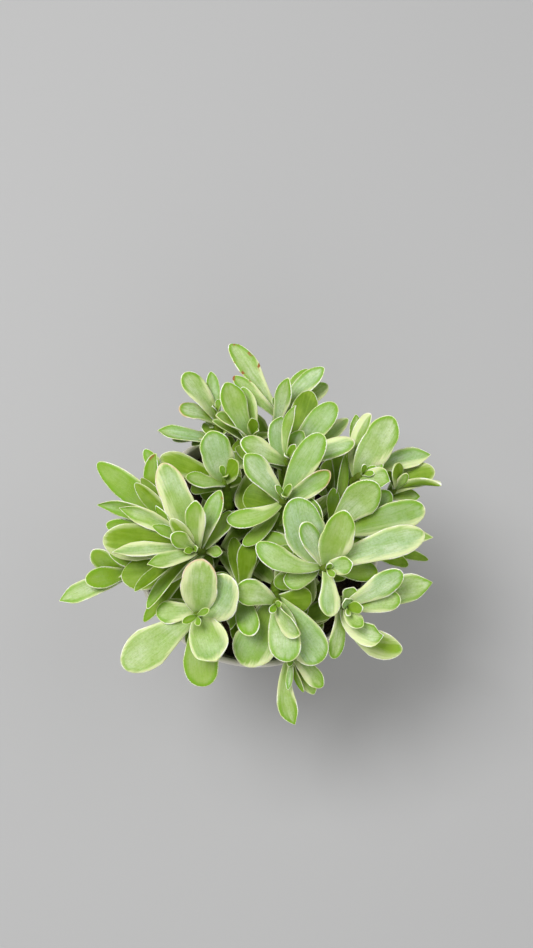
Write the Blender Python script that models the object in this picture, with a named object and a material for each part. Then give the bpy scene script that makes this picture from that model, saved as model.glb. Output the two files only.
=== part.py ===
"""Potted crassula: a round white pot of soil and seventeen leafy stems with fleshy, spoon-shaped leaves.

Metres, +Z up, the origin at the middle of the pot's flat base, on the surface that it stands on.
"""

import math
import random

import bmesh
import bpy
from mathutils import Matrix, Vector
from mathutils.bvhtree import BVHTree

MM = 0.001

# The pot, in millimetres
RIM_RADIUS = 50.0
RIM_WALL = 2.6
RIM_DEPTH = 9.0
POT_HEIGHT = 85.0
FOOT_RADIUS = 36.0
POT_WALL = 2.2
FLOOR_THICK = 3.5
POT_SIDES = 32
DRAIN_HOLES = 4
DRAIN_RADIUS = 4.0
DRAIN_OUT = 19.0
DRAIN_SIDES = 12

# The soil
SOIL_LEVEL = 76.0
SOIL_MOUND = 2.0
SOIL_LUMP = 1.1
SOIL_RINGS = 4
SOIL_SIDES = 16
HOLE_SIDES = 6
GAP = 0.3

# The stems
STEM_FOOT = 58.0
STEM_FOOT_RADIUS = 2.3
STEM_CROWN_RADIUS = 1.5
STEM_SIDES = 5
STEM_STEPS = 5
STEM_STRAIGHT = 6.0

# The leaves
LEAF_RINGS = (0.0, 0.3, 0.55, 0.78, 0.93)
MIDDLING_LEAF_RINGS = (0.0, 0.42, 0.7, 0.9)
SMALL_LEAF_RINGS = (0.0, 0.48, 0.85)
MIDDLING_LEAF_WIDTH = 8.6
SMALL_LEAF_WIDTH = 6.0
ROOT_OUT = 0.6
PETIOLE_SHARE = 0.24
WIDEST_AT = 0.64
SPOON = 1.0
TIP_ROUNDNESS = 2.2
SKYWARD = 0.8
THIN = 0.6
THICK_PER_WIDTH = 0.115
CUP = 0.13
LIFT = 0.4
ARCH = 0.22
BLADE_FROM = 0.45

# The plan below was drawn from above, from this eye, on a level plane at PLAN_HEIGHT. A leaf that lies
# lower than the plane stands further out than it looks there.
EYE = Vector((4.0, -72.0, 489.0))
PLAN_HEIGHT = 115.0

# Each leafy stem: where it stands in the soil, where its crown is on the plan and how high, and its leaves.
# A leaf: distance below the crown, tip x and y on the plan, tip height, width, then its roll in degrees, its
# arch down at the tip and its sweep to the right, where they aren't the usual ones.
SHOOTS = {
    "west": {
        "foot": (-15, -4),
        "crown": (-23, -8, 117),
        "leaves": (
            (3, -23, 11.3, 131, 8),
            (4, -32.5, 4.2, 128, 5.5),
            (2, -32.3, -2, 126, 6.5),
            (6, -36.3, 26, 126, 11.5),
            (5, -13.5, 15.2, 123, 8.5, -22, 0.22, 0.2),
            (7, -9.8, 7.2, 113, 7.5, -10, 0.22, 0.4),
            (4, -39.6, 1.3, 126, 5, 30),
            (6, -38.3, 9.2, 121, 5, -40),
            (5, -54.3, -9, 123, 6.5, 25, 0.22, -0.1),
            (4, -41, -13.5, 127, 7, 15, 0.22, -0.3),
            (8, -58, -4, 116, 14.5),
            (11, -55.5, -8.5, 109, 11, 0, 0.22, -0.2),
            (10, -60.8, 9.6, 113, 7, -25, 0.22, 0.6),
            (7, -52.2, 8.4, 120, 7, -15, 0.22, 0.35),
            (14, -61.3, 26, 107, 10.5),
            (12, -43.3, 31.5, 110, 7.5, 10),
            (9, -38.6, 29.8, 116, 8.5, -35, 0.22, -1.3),
            (11, -46.5, 18, 113, 6.5),
            (9, -50.5, -18, 111, 14, 0, 0.22, -0.3),
            (5, -45.3, -23.8, 121, 5.5, 30),
            (8, -40.3, -30.2, 114, 6.5, 30),
            (14, -41.5, -35, 102, 6, 10),
            (9, -12.6, -9, 113, 4.5),
            (9, -44.3, 20, 108, 6),
            (10, -57, 2, 110, 9),
        ),
    },
    "far_west": {
        "foot": (-31, -9),
        "crown": (-49, -17, 100),
        "leaves": (
            (4, -73.3, -27.4, 102, 8.5),
            (3, -64, -19.7, 107, 8.5),
            (3, -61.5, -7.7, 104, 8.5, 0, 0.22, -0.45),
        ),
    },
    "south_west": {
        "foot": (-19, -22),
        "crown": (-22, -33, 114),
        "leaves": (
            (3, -20, -11.3, 129, 13),
            (4, -12.3, -16.8, 124, 15, -5, 0.22, 0.8),
            (1, -27.3, -35.3, 121, 3, 10),
            (1, -17.3, -30.3, 122, 2.8, -10),
            (8, -48.8, -51.5, 107, 15.5),
            (5, -14.5, -49.3, 114, 15, 0, -0.5),
            (10, -19.4, -58.5, 100, 14),
            (13, -24.5, -44, 95, 6),
            (6, -37.1, -31.7, 110, 9, 22),
        ),
    },
    "pit": {
        "foot": (-5, -17),
        "crown": (-5, -26, 100),
        "leaves": (
            (4, -2.5, -4.3, 108, 8),
            (4, -8.5, -3, 104, 6.5),
            (1, -1, -40.1, 115, 9, 0, 0.4),
            (5, -7.8, -42.3, 100, 6.5, -10),
            (2, -9.3, -37.8, 107, 3.5, 20),
        ),
    },
    "south": {
        "foot": (8, -17),
        "crown": (7.5, -28.5, 114),
        "leaves": (
            (3, -8, -23.3, 121, 10.5, 0, 0.22, 0.25),
            (3, 16.6, -39.7, 119, 8.5, 40),
            (5, 11.3, -49.7, 113, 12.5, 0, 0.22, -0.2),
            (9, -4.3, -51, 105, 16.5),
            (8, 24, -49.7, 106, 15),
            (8, 21, -26, 106, 10.5, 15),
        ),
    },
    "spill": {
        "foot": (12, -33),
        "crown": (13.5, -47, 97),
        "leaves": (
            (2, 14.4, -72, 89, 7.5, 10, 0.22, 0.45),
            (1, 11.8, -59.6, 98, 2.8),
            (3, 17.7, -60.5, 92, 3.2, 40),
            (3, 24.6, -58.6, 95, 7),
            (5, 21.4, -61.2, 88, 6),
        ),
    },
    "south_east": {
        "foot": (25, -18),
        "crown": (34.5, -30, 114),
        "leaves": (
            (2, 33.5, -26.3, 121, 5),
            (2, 40, -29.6, 120, 5),
            (4, 47.5, -39.8, 114, 9, 15, -0.3, 1.5),
            (7, 54.2, -44.5, 105, 10.5, 10, 0.0, 1.0),
            (9, 66.2, -20.2, 109, 11.5),
            (6, 54.2, -26.5, 115, 9.5),
            (4, 55.2, -16.3, 121, 9.5),
            (5, 36.8, -22, 116, 6.5),
            (2, 40, -36.5, 117, 6, 0, 0.1, 0.6),
            (8, 28.5, -48.4, 103, 7, -15),
        ),
    },
    "east": {
        "foot": (17, -6),
        "crown": (27, -15, 120),
        "leaves": (
            (2, 36.6, -13, 127, 7),
            (3, 34, 7.5, 133, 11.5),
            (4, 17.4, 2.5, 132, 8.5, 10),
            (6, 15.2, 12.4, 125, 14.5, 0, 0.22, -0.25),
            (8, 21, 12, 119, 10, -30),
            (5, 64, -1.8, 121, 12, 0, 0.22, -0.1),
            (3, 27.4, -33, 118, 8.5, 0, 0.22, -0.15),
            (5, 0.6, -5, 122, 9.5, 0, 0.22, -0.65),
            (8, 10.3, -19, 113, 9, 0, 0.22, -0.5),
            (7, 14, -8.8, 116, 7),
            (8, 8, -7.3, 112, 6),
            (9, 1.5, -2.5, 108, 12, 0, 0.22, -0.3),
            (8, 46, -16.5, 111, 8.5),
            (11, 6.7, -20.1, 105, 8, 0, 0.22, -0.4),
        ),
    },
    "east_low": {
        "foot": (19, 5),
        "crown": (30.5, -0.5, 108),
        "leaves": (
            (2, 47.3, 17.3, 119, 14, 0, 0.22, -0.3),
            (5, 52, 14, 109, 10),
            (3, 42, 9.6, 112, 6),
            (4, 64.3, 8.8, 113, 12.5, 0, 0.22, 0.2),
            (7, 67.2, -3.2, 103, 8.5),
            (9, 65, -11.8, 99, 5),
            (4, 29.6, 16.2, 109, 5.5),
            (9, 57.4, -14, 102, 6.5),
            (6, 34.2, 29.5, 106, 6, 20),
        ),
    },
    "middle": {
        "foot": (6, 4),
        "crown": (11, 12.5, 119),
        "leaves": (
            (2, 13.4, 17.7, 126, 3.2),
            (2, 7.3, 17.2, 125, 3),
            (4, -4.4, 29.4, 127, 10),
            (7, -4.7, 13.5, 111, 12),
            (4, -11.2, 4, 118, 8, 0, 0.22, -0.6),
            (5, 25.8, 37.8, 129, 11),
            (4, 28.5, 22.8, 125, 8, 30),
            (9, -5, -6, 106, 6, 0, 0.22, -0.3),
        ),
    },
    "north": {
        "foot": (10, 19),
        "crown": (12.5, 28, 117),
        "leaves": (
            (1, 15.3, 33.5, 124, 3.5),
            (4, -6.2, 34.8, 126, 9.5, 0, 0.22, -0.15),
            (4, 10, 45, 122, 9.5, 10, 0.22, -0.7),
            (3, 15.6, 49.3, 130, 6, -50),
            (6, 38.2, 34.5, 117, 8.5),
            (4, 18.2, 39, 121, 7),
            (8, 21.3, 55.3, 112, 10.5),
            (7, 31, 50.2, 117, 10.5),
            (10, 36, 43.8, 107, 7),
            (8, -8.2, 32, 111, 7.5),
        ),
    },
    "far_north": {
        "foot": (6, 33),
        "crown": (8.5, 47.5, 105),
        "leaves": (
            (10, 12.8, 60.8, 118, 8, 0, 0.22, 0.15),
            (4, -10.5, 75, 108, 9.5),
            (3, -9.2, 61.2, 111, 6.5, -25),
            (5, 26.8, 65, 110, 8.5),
            (8, 28, 58, 101, 9.5),
            (7, 20.5, 64.3, 103, 8),
        ),
    },
    "north_east": {
        "foot": (29, 17),
        "crown": (41, 21.5, 111),
        "leaves": (
            (4, 49, 25.6, 113, 5),
            (3, 46.4, 24.6, 112, 3.2),
            (5, 53.2, 44.9, 120, 12.5),
            (5, 44.8, 46, 117, 7, -55, 0.22, -0.25),
            (7, 67.6, 29.2, 107, 8.5, 0, 0.22, -0.2),
            (2, 51.7, 18.6, 117, 8.6, 15),
            (9, 39, 45.6, 105, 6),
        ),
    },
    "far_east": {
        "foot": (37, 7),
        "crown": (54, 16.5, 104),
        "leaves": (
            (1, 53.5, 25.5, 114, 8.5),
            (2, 50, 22.6, 112, 4.2),
            (2, 58, 22, 112, 4.2),
            (2, 71.2, 17.2, 115, 7.5, -58),
            (5, 69, 22.3, 107, 11, -10, 0.22, -0.3),
            (7, 62.8, 12.6, 99, 6),
        ),
    },
    "north_middle": {
        "foot": (-3, 25),
        "crown": (-1, 37, 109),
        "leaves": (
            (1, -1.8, 44.2, 116, 4.8),
            (4, -12, 58.9, 119, 11, 0, 0.22, -0.25),
            (6, -5.3, 57, 110, 8.5),
            (4, -15.9, 45.3, 116, 8, 20),
            (7, -17.2, 42.9, 110, 6.5, 20),
        ),
    },
    "north_west": {
        "foot": (-15, 29),
        "crown": (-15.5, 46, 103),
        "leaves": (
            (3, -29, 62.5, 111, 10.5),
            (4, -30.4, 48, 107, 10),
            (5, -18, 63.3, 105, 5.5),
            (8, -21.5, 40, 101, 7),
            (12, -38.4, 38.8, 100, 7.5, -10, 0.22, -0.2),
            (10, -25, 33, 96, 5),
            (5, -20.0, 41.7, 98, 8),
        ),
    },
    "inner": {
        "foot": (-11, 12),
        "crown": (-12, 20, 110),
        "leaves": (
            (3, -18, 39, 121, 12),
            (5, -37.3, 28.2, 112, 10),
            (4, -27.2, 20.2, 117, 8.5, 15, 0.22, -0.4),
            (3, -6.8, 26.5, 118, 8.5, 0),
            (5, -17.3, 24.5, 109, 6),
            (6, -5.3, 19.8, 107, 4.5),
            (6, -25, 15.7, 100, 7),
        ),
    },
}

# Small leaves that close each crown, and the older ones that fill in below it, are set by rule
HEART_LEAVES = 2
HEART_LENGTH = 6.0
HEART_WIDTH = 2.8
HEART_LEAN = 28.0
LOW_FIRST = 10.0
LOW_STEP = 9.0
LOW_PAIRS = 4
LOW_LENGTH = 20.0
LOW_WIDTH = 9.0
LOW_CLEAR_OF_SOIL = 4.0
LOW_CEILING = 98.0
LOW_REACH = 53.0
LOW_TURNS = (0, 15, -15, 30, -30, 42, -42)
LOW_RISES = (0.2, 0.05, -0.1)
LOW_SIZES = (1.0, 0.8)
SEED = 8413

# What a leaf in the way of another may do: turn about the stem, in degrees, and raise or lower its tip
TURNS = (0, 4, -4, 8, -8, 12, -12, 16, -16)
RAISES = (0, 2, -2, 4, -4, 6, -6, 9, -9, 12, -12, 15, -15)
TURN_COST = 0.6
CLEARANCE = 0.35

WHITE_GLAZE = (0.82, 0.80, 0.76, 1.0)
DARK_SOIL = (0.035, 0.026, 0.02, 1.0)
LEAF_GREEN = (0.42, 0.58, 0.26, 1.0)


def material(name, colour, roughness):
    made = bpy.data.materials.new(name)
    made.use_nodes = True
    shader = made.node_tree.nodes["Principled BSDF"]
    shader.inputs["Base Color"].default_value = colour
    shader.inputs["Roughness"].default_value = roughness
    shader.inputs["Metallic"].default_value = 0.0
    return made


def add_object(name, points, faces, look):
    mesh = bpy.data.meshes.new(name)
    mesh.from_pydata([point * MM for point in points], [], faces)
    mesh.materials.append(look)
    made = bpy.data.objects.new(name, mesh)
    bpy.context.scene.collection.objects.link(made)
    return made


def tube_faces(rings, sides):
    """Faces of a closed tube whose rings of points are numbered one after another, with both ends capped."""
    faces = [tuple(reversed(range(sides)))]
    for ring in range(rings - 1):
        low, high = ring * sides, (ring + 1) * sides
        for side in range(sides):
            after = (side + 1) % sides
            faces.append((low + side, low + after, high + after, high + side))
    last = (rings - 1) * sides
    faces.append(tuple(last + side for side in range(sides)))
    return faces


def blade_faces(rings, sides):
    """Triangles of a closed leaf that ends in a point. Its upper and lower faces are split alike."""
    faces = [tuple(reversed(range(sides)))]
    for ring in range(rings - 1):
        low, high = ring * sides, (ring + 1) * sides
        for side in range(sides):
            after = (side + 1) % sides
            if side < sides // 2:
                faces.append((low + side, low + after, high + after))
                faces.append((low + side, high + after, high + side))
            else:
                faces.append((low + side, low + after, high + side))
                faces.append((low + after, high + after, high + side))
    last, tip = (rings - 1) * sides, rings * sides
    faces += [(last + side, last + (side + 1) % sides, tip) for side in range(sides)]
    return faces


def wall_radius(height):
    """The pot's outer radius below its rim."""
    share = height / (POT_HEIGHT - RIM_DEPTH)
    return FOOT_RADIUS + (RIM_RADIUS - 1.6 - FOOT_RADIUS) * share


def pot_profile():
    """Radius and height of the pot's section, from the middle of its flat base out, up and back inside."""
    collar = POT_HEIGHT - RIM_DEPTH
    inner = RIM_RADIUS - RIM_WALL
    return (
        (0.0, 0.0),
        (FOOT_RADIUS - 0.8, 0.0),
        (wall_radius(0.8), 0.8),
        (wall_radius(collar * 0.5), collar * 0.5),
        (wall_radius(collar), collar),
        (RIM_RADIUS - 0.5, collar + 1.0),
        (RIM_RADIUS, POT_HEIGHT - 1.2),
        (RIM_RADIUS - 0.5, POT_HEIGHT - 0.3),
        (RIM_RADIUS - RIM_WALL * 0.5, POT_HEIGHT),
        (inner + 0.5, POT_HEIGHT - 0.3),
        (inner, POT_HEIGHT - 1.2),
        (wall_radius(collar) - POT_WALL, collar - 1.5),
        (wall_radius(FLOOR_THICK) - POT_WALL, FLOOR_THICK),
        (0.0, FLOOR_THICK),
    )


def build_pot(look):
    """The section turned about the pot's axis, with drain holes in the floor."""
    shape = bmesh.new()
    corners = [shape.verts.new((radius * MM, 0, height * MM)) for radius, height in pot_profile()]
    section = [shape.edges.new(ends) for ends in zip(corners, corners[1:])]
    bmesh.ops.spin(
        shape,
        geom=corners + section,
        cent=(0, 0, 0),
        axis=(0, 0, 1),
        angle=2 * math.pi,
        steps=POT_SIDES,
        use_merge=True,
    )
    bmesh.ops.remove_doubles(shape, verts=shape.verts, dist=0.01 * MM)
    bmesh.ops.recalc_face_normals(shape, faces=shape.faces)
    pot = add_object("pot", [], [], look)
    shape.to_mesh(pot.data)
    shape.free()
    turns = [2 * math.pi * (hole + 0.5) / DRAIN_HOLES for hole in range(DRAIN_HOLES)]
    places = [(DRAIN_OUT * math.cos(turn), DRAIN_OUT * math.sin(turn)) for turn in turns]
    cut_round_holes(pot, places, DRAIN_RADIUS, DRAIN_SIDES, (-1.0, FLOOR_THICK + 1.0))
    pot.data.shade_smooth()
    pot.data.set_sharp_from_angle(angle=math.radians(40))
    return pot


def soil_radius(height):
    return wall_radius(height) - POT_WALL - GAP


def soil_height(radius, chance):
    """The soil is mounded a little, and lumpy."""
    share = radius / soil_radius(SOIL_LEVEL)
    return SOIL_LEVEL + SOIL_MOUND * (1 - share * share) + SOIL_LUMP * chance.uniform(-0.5, 0.5)


def build_soil(look, chance):
    floor = FLOOR_THICK + GAP
    edge = soil_radius(SOIL_LEVEL - 3.0)
    points = [Vector((0, 0, floor))]
    for radius, height in ((soil_radius(floor) - 0.2, floor), (edge, SOIL_LEVEL - 1.0)):
        for side in range(SOIL_SIDES):
            angle = 2 * math.pi * side / SOIL_SIDES
            points.append(Vector((radius * math.cos(angle), radius * math.sin(angle), height)))
    for ring in range(1, SOIL_RINGS):
        radius = edge * (1 - ring / SOIL_RINGS)
        for side in range(SOIL_SIDES):
            angle = 2 * math.pi * (side + 0.5 * (ring % 2)) / SOIL_SIDES
            height = soil_height(radius, chance)
            points.append(Vector((radius * math.cos(angle), radius * math.sin(angle), height)))
    points.append(Vector((0, 0, soil_height(0, chance))))
    faces = []
    for side in range(SOIL_SIDES):
        after = (side + 1) % SOIL_SIDES
        faces.append((0, 1 + after, 1 + side))
        for ring in range(SOIL_RINGS):
            low, high = 1 + ring * SOIL_SIDES, 1 + (ring + 1) * SOIL_SIDES
            faces.append((low + side, low + after, high + after))
            faces.append((low + side, high + after, high + side))
        top = 1 + SOIL_RINGS * SOIL_SIDES
        faces.append((top + side, top + after, len(points) - 1))
    return add_object("soil", points, faces, look)


def from_plan(x, y, height):
    """The point at this height that the eye sees at x, y on the plan."""
    reach = (EYE.z - height) / (EYE.z - PLAN_HEIGHT)
    return Vector((EYE.x + (x - EYE.x) * reach, EYE.y + (y - EYE.y) * reach, height))


def bezier(controls, share):
    a, b, c, d = controls
    rest = 1 - share
    return rest**3 * a + 3 * rest * rest * share * b + 3 * rest * share * share * c + share**3 * d


def bezier_slope(controls, share):
    a, b, c, d = controls
    rest = 1 - share
    return (rest * rest * (b - a) + 2 * rest * share * (c - b) + share * share * (d - c)).normalized()


class Stem:
    """A stem stands straight in the soil, then bends over to its crown."""

    def __init__(self, foot, crown):
        self.foot = Vector((*foot, SOIL_LEVEL + STEM_STRAIGHT))
        self.crown = from_plan(*crown)
        lean = self.crown - self.foot
        rise = lean.length * 0.45
        outward = Vector((lean.x, lean.y, 0)) * 0.5
        self.controls = (
            self.foot,
            self.foot + Vector((0, 0, rise)),
            self.crown - (outward + Vector((0, 0, rise))).normalized() * rise,
            self.crown,
        )
        self.length = lean.length * 1.05

    def at(self, below):
        """The stem's point and direction this far below the crown."""
        share = max(0.0, 1 - below / self.length)
        return bezier(self.controls, share), bezier_slope(self.controls, share)

    def mesh(self, swell=0.0):
        centres = [Vector((self.foot.x, self.foot.y, STEM_FOOT)), self.foot.copy()]
        slopes = [Vector((0, 0, 1)), Vector((0, 0, 1))]
        for step in range(1, STEM_STEPS):
            centres.append(bezier(self.controls, step / (STEM_STEPS - 1)))
            slopes.append(bezier_slope(self.controls, step / (STEM_STEPS - 1)))
        points = []
        for step, (centre, slope) in enumerate(zip(centres, slopes)):
            share = max(0, step - 1) / (STEM_STEPS - 1)
            radius = STEM_FOOT_RADIUS + (STEM_CROWN_RADIUS - STEM_FOOT_RADIUS) * share + swell
            side = slope.cross(Vector((0, 1, 0))).normalized()
            front = slope.cross(side)
            for corner in range(STEM_SIDES):
                angle = 2 * math.pi * corner / STEM_SIDES
                points.append(centre + radius * (math.cos(angle) * side + math.sin(angle) * front))
        return points, tube_faces(len(centres), STEM_SIDES)


def half_outline(share):
    """Half of the leaf's width along it, as a share of its greatest: a narrow base, a spoon and a round tip."""
    if share < WIDEST_AT:
        return PETIOLE_SHARE + (1 - PETIOLE_SHARE) * math.sin(math.pi / 2 * share / WIDEST_AT) ** SPOON
    past = (share - WIDEST_AT) / (1 - WIDEST_AT)
    return max(0.0, 1 - past**TIP_ROUNDNESS) ** 0.5


class Leaf:
    """A fleshy leaf from its root in the stem to its tip, its upper face turned to the stem's crown."""

    def __init__(self, stem, below, tip, width, roll=0.0, arch=ARCH, sweep=0.0):
        axis_point, axis = stem.at(below)
        self.root = axis_point + (tip - axis_point).normalized() * ROOT_OUT
        self.tip = tip
        chord = tip - self.root
        self.length = chord.length
        self.width = width
        along = chord.normalized()
        light = axis + Vector((0, 0, SKYWARD))
        facing = (light - light.dot(along) * along).normalized()
        facing.rotate(Matrix.Rotation(math.radians(roll), 3, along))
        self.facing = facing
        aside = along.cross(facing) * sweep
        start = (along + LIFT * facing + aside).normalized()
        end = (along - arch * facing - aside).normalized()
        self.controls = (
            self.root,
            self.root + start * self.length * 0.36,
            tip - end * self.length * 0.33,
            tip,
        )

    def rings(self):
        if self.width < SMALL_LEAF_WIDTH:
            return SMALL_LEAF_RINGS
        return MIDDLING_LEAF_RINGS if self.width < MIDDLING_LEAF_WIDTH else LEAF_RINGS

    def section(self, share, swell):
        """Points round the leaf: edge, above, edge, below. The swell makes it stouter all round."""
        centre = bezier(self.controls, share)
        along = bezier_slope(self.controls, share)
        side = along.cross(self.facing).normalized()
        up = side.cross(along)
        half = 0.5 * self.width * half_outline(share) + swell
        thick = (THIN + THICK_PER_WIDTH * self.width) * (1.15 - 0.45 * share) + 2 * swell
        edge = CUP * half
        shape = ((-1.0, edge), (0.0, 0.45 * thick), (1.0, edge), (0.0, -0.65 * thick))
        return [centre + side * half * across + up * height for across, height in shape]

    def mesh(self, swell=0.0, first=0.0):
        shares = [share for share in self.rings() if share >= first]
        points = [point for share in shares for point in self.section(share, swell)]
        sides = len(points) // len(shares)
        points.append(self.tip + bezier_slope(self.controls, 1.0) * swell)
        return points, blade_faces(len(shares), sides)


def tree_of(points, faces):
    return BVHTree.FromPolygons(points, faces)


class Garden:
    """What stands already, so that a new leaf can be bent clear of it."""

    def __init__(self):
        self.solids = []
        self.blades = []

    def add_solid(self, shoot, shape):
        self.solids.append((shoot, box_of(shape[0]), tree_of(*shape)))

    def add_leaf(self, shoot, leaf):
        self.add_solid(shoot, leaf.mesh(CLEARANCE / 2))
        shape = leaf.mesh(0.0, BLADE_FROM)
        self.blades.append((shoot, box_of(shape[0]), tree_of(*shape)))

    def is_clear(self, shoot, leaf):
        whole = leaf.mesh(CLEARANCE / 2)
        others = [solid for solid in self.solids if solid[0] != shoot]
        if touches_any(whole, others):
            return False
        own = [blade for blade in self.blades if blade[0] == shoot]
        return not touches_any(leaf.mesh(0.0, BLADE_FROM), own)


def box_of(points):
    low = Vector([min(point[i] for point in points) for i in range(3)])
    high = Vector([max(point[i] for point in points) for i in range(3)])
    return low, high


def touches_any(shape, others):
    low, high = box_of(shape[0])
    tree = None
    for _, (other_low, other_high), other in others:
        if any(high[i] < other_low[i] or low[i] > other_high[i] for i in range(3)):
            continue
        tree = tree or tree_of(*shape)
        if tree.overlap(other):
            return True
    return False


def bends():
    """Turns and raises, the smallest change first."""
    pairs = [(turn, rise) for turn in TURNS for rise in RAISES]
    return sorted(pairs, key=lambda pair: abs(pair[0]) * TURN_COST + abs(pair[1]))


def placed_leaf(garden, shoot, stem, row, orders):
    """The leaf of this row of the plan, bent clear of all that stands, or None where nothing is clear."""
    below, x, y, height, width = row[:5]
    root = stem.at(below)[0]
    for turn, rise in orders:
        tip = from_plan(x, y, height + rise)
        reach = tip - root
        reach.rotate(Matrix.Rotation(math.radians(turn), 3, "Z"))
        leaf = Leaf(stem, below, root + reach, width, *row[5:])
        if garden.is_clear(shoot, leaf):
            garden.add_leaf(shoot, leaf)
            return leaf
    return None


def heart_leaves(stem, first_angle):
    """The small upright leaves at the middle of a crown."""
    crown, axis = stem.at(0)
    side = axis.orthogonal().normalized()
    for number in range(HEART_LEAVES):
        turn = Matrix.Rotation(first_angle + math.pi * number, 3, axis)
        lean = math.radians(HEART_LEAN)
        way = axis * math.cos(lean) + (turn @ side) * math.sin(lean)
        yield Leaf(stem, 0.8, crown + way * HEART_LENGTH, HEART_WIDTH)


def add_low_leaves(garden, shoot, stem, chance):
    """Pairs of older leaves down the stem, each pair across the one above it, where there is room."""
    grown = []
    first = chance.uniform(0, math.pi)
    for pair in range(LOW_PAIRS):
        below = LOW_FIRST + LOW_STEP * pair
        root, _ = stem.at(below)
        if root.z < SOIL_LEVEL + LOW_CLEAR_OF_SOIL:
            break
        if root.z > LOW_CEILING:
            continue
        for half in range(2):
            angle = first + math.pi * (half + 0.5 * pair)
            length = LOW_LENGTH * chance.uniform(0.85, 1.1)
            width = LOW_WIDTH * chance.uniform(0.8, 1.15)
            leaf = low_leaf(garden, shoot, stem, below, angle, length, width)
            if leaf:
                garden.add_leaf(shoot, leaf)
                grown.append(leaf)
    return grown


def low_leaf(garden, shoot, stem, below, angle, length, width):
    root, _ = stem.at(below)
    for size in LOW_SIZES:
        for turn in LOW_TURNS:
            for rise in LOW_RISES:
                way = angle + math.radians(turn)
                reach = Vector((math.cos(way), math.sin(way), rise)).normalized() * length * size
                leaf = Leaf(stem, below, root + reach, width * size)
                hidden = leaf.tip.z < LOW_CEILING and leaf.tip.xy.length < LOW_REACH
                if hidden and garden.is_clear(shoot, leaf):
                    return leaf
    return None


def pot_as_obstacle():
    """A ring round the pot's rim and a lid of soil, for leaves to stay clear of."""
    points, faces = [], []
    corners = (
        (wall_radius(20) + GAP, 20),
        (wall_radius(POT_HEIGHT - RIM_DEPTH) + GAP, POT_HEIGHT - RIM_DEPTH),
        (RIM_RADIUS + GAP, POT_HEIGHT - RIM_DEPTH),
        (RIM_RADIUS + GAP, POT_HEIGHT + GAP),
        (RIM_RADIUS - RIM_WALL - GAP, POT_HEIGHT + GAP),
        (RIM_RADIUS - RIM_WALL - GAP, SOIL_LEVEL + 1.5),
        (0.5, SOIL_LEVEL + SOIL_MOUND + SOIL_LUMP),
    )
    for side in range(POT_SIDES):
        turn = Matrix.Rotation(2 * math.pi * side / POT_SIDES, 3, "Z")
        points += [turn @ Vector((radius, 0, height)) for radius, height in corners]
    for side in range(POT_SIDES):
        here, there = side * len(corners), (side + 1) % POT_SIDES * len(corners)
        for step in range(len(corners) - 1):
            faces.append((here + step, there + step, there + step + 1, here + step + 1))
    return points, faces


def grow():
    """Every stem, and every leaf bent clear of the leaves of other stems. The highest leaves come first."""
    garden = Garden()
    garden.add_solid("pot", pot_as_obstacle())
    stems = {name: Stem(shoot["foot"], shoot["crown"]) for name, shoot in SHOOTS.items()}
    leaves = {name: [] for name in SHOOTS}
    for name, stem in stems.items():
        garden.add_solid(name, stem.mesh(GAP))
    rows = [(name, row) for name, shoot in SHOOTS.items() for row in shoot["leaves"]]
    rows.sort(key=lambda named: -named[1][3])
    orders = bends()
    for name, row in rows:
        leaf = placed_leaf(garden, name, stems[name], row, orders)
        if leaf:
            leaves[name].append(leaf)
    chance = random.Random(SEED)
    for name, stem in stems.items():
        for leaf in heart_leaves(stem, chance.uniform(0, math.pi)):
            if garden.is_clear(name, leaf):
                garden.add_leaf(name, leaf)
                leaves[name].append(leaf)
    for name, stem in stems.items():
        leaves[name] += add_low_leaves(garden, name, stem, chance)
    return stems, leaves


def build_shoot(name, stem, leaves, look):
    """One leafy stem: its leaves' roots are sunk in it, and all of it is one body."""
    shoot = add_object("shoot_" + name, *stem.mesh(), look)
    group = bpy.data.collections.new(name + "_leaves")
    bpy.context.scene.collection.children.link(group)
    for number, leaf in enumerate(leaves):
        blade = add_object(f"{name}_leaf_{number}", *leaf.mesh(), look)
        bpy.context.scene.collection.objects.unlink(blade)
        group.objects.link(blade)
    union = shoot.modifiers.new("leaves", "BOOLEAN")
    union.operation = "UNION"
    union.operand_type = "COLLECTION"
    union.collection = group
    union.solver = "EXACT"
    bpy.context.view_layer.objects.active = shoot
    bpy.ops.object.modifier_apply(modifier=union.name)
    for blade in list(group.objects):
        bpy.data.objects.remove(blade)
    bpy.data.collections.remove(group)
    keep_main_body(shoot.data)
    return shoot


def connected(start):
    """Every face that is joined to this one."""
    found, edge_of_search = {start}, [start]
    while edge_of_search:
        for edge in edge_of_search.pop().edges:
            for face in edge.link_faces:
                if face not in found:
                    found.add(face)
                    edge_of_search.append(face)
    return found


def keep_main_body(mesh):
    """Fill the hollows that the fusing sealed, and drop loose scraps: both are bodies beside the largest."""
    shape = bmesh.new()
    shape.from_mesh(mesh)
    left, bodies = set(shape.faces), []
    while left:
        body = connected(next(iter(left)))
        left -= body
        bodies.append(body)
    bodies.sort(key=len)
    for body in bodies[:-1]:
        bmesh.ops.delete(shape, geom=list(body), context="FACES")
    shape.to_mesh(mesh)
    shape.free()


def cut_stem_holes(soil, stems):
    """A plain round hole in the soil for each stem."""
    places = [(stem.foot.x, stem.foot.y) for stem in stems.values()]
    radius = (STEM_FOOT_RADIUS + GAP * 1.1) / math.cos(math.pi / HOLE_SIDES)
    cut_round_holes(soil, places, radius, HOLE_SIDES, (STEM_FOOT - GAP, POT_HEIGHT))


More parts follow.
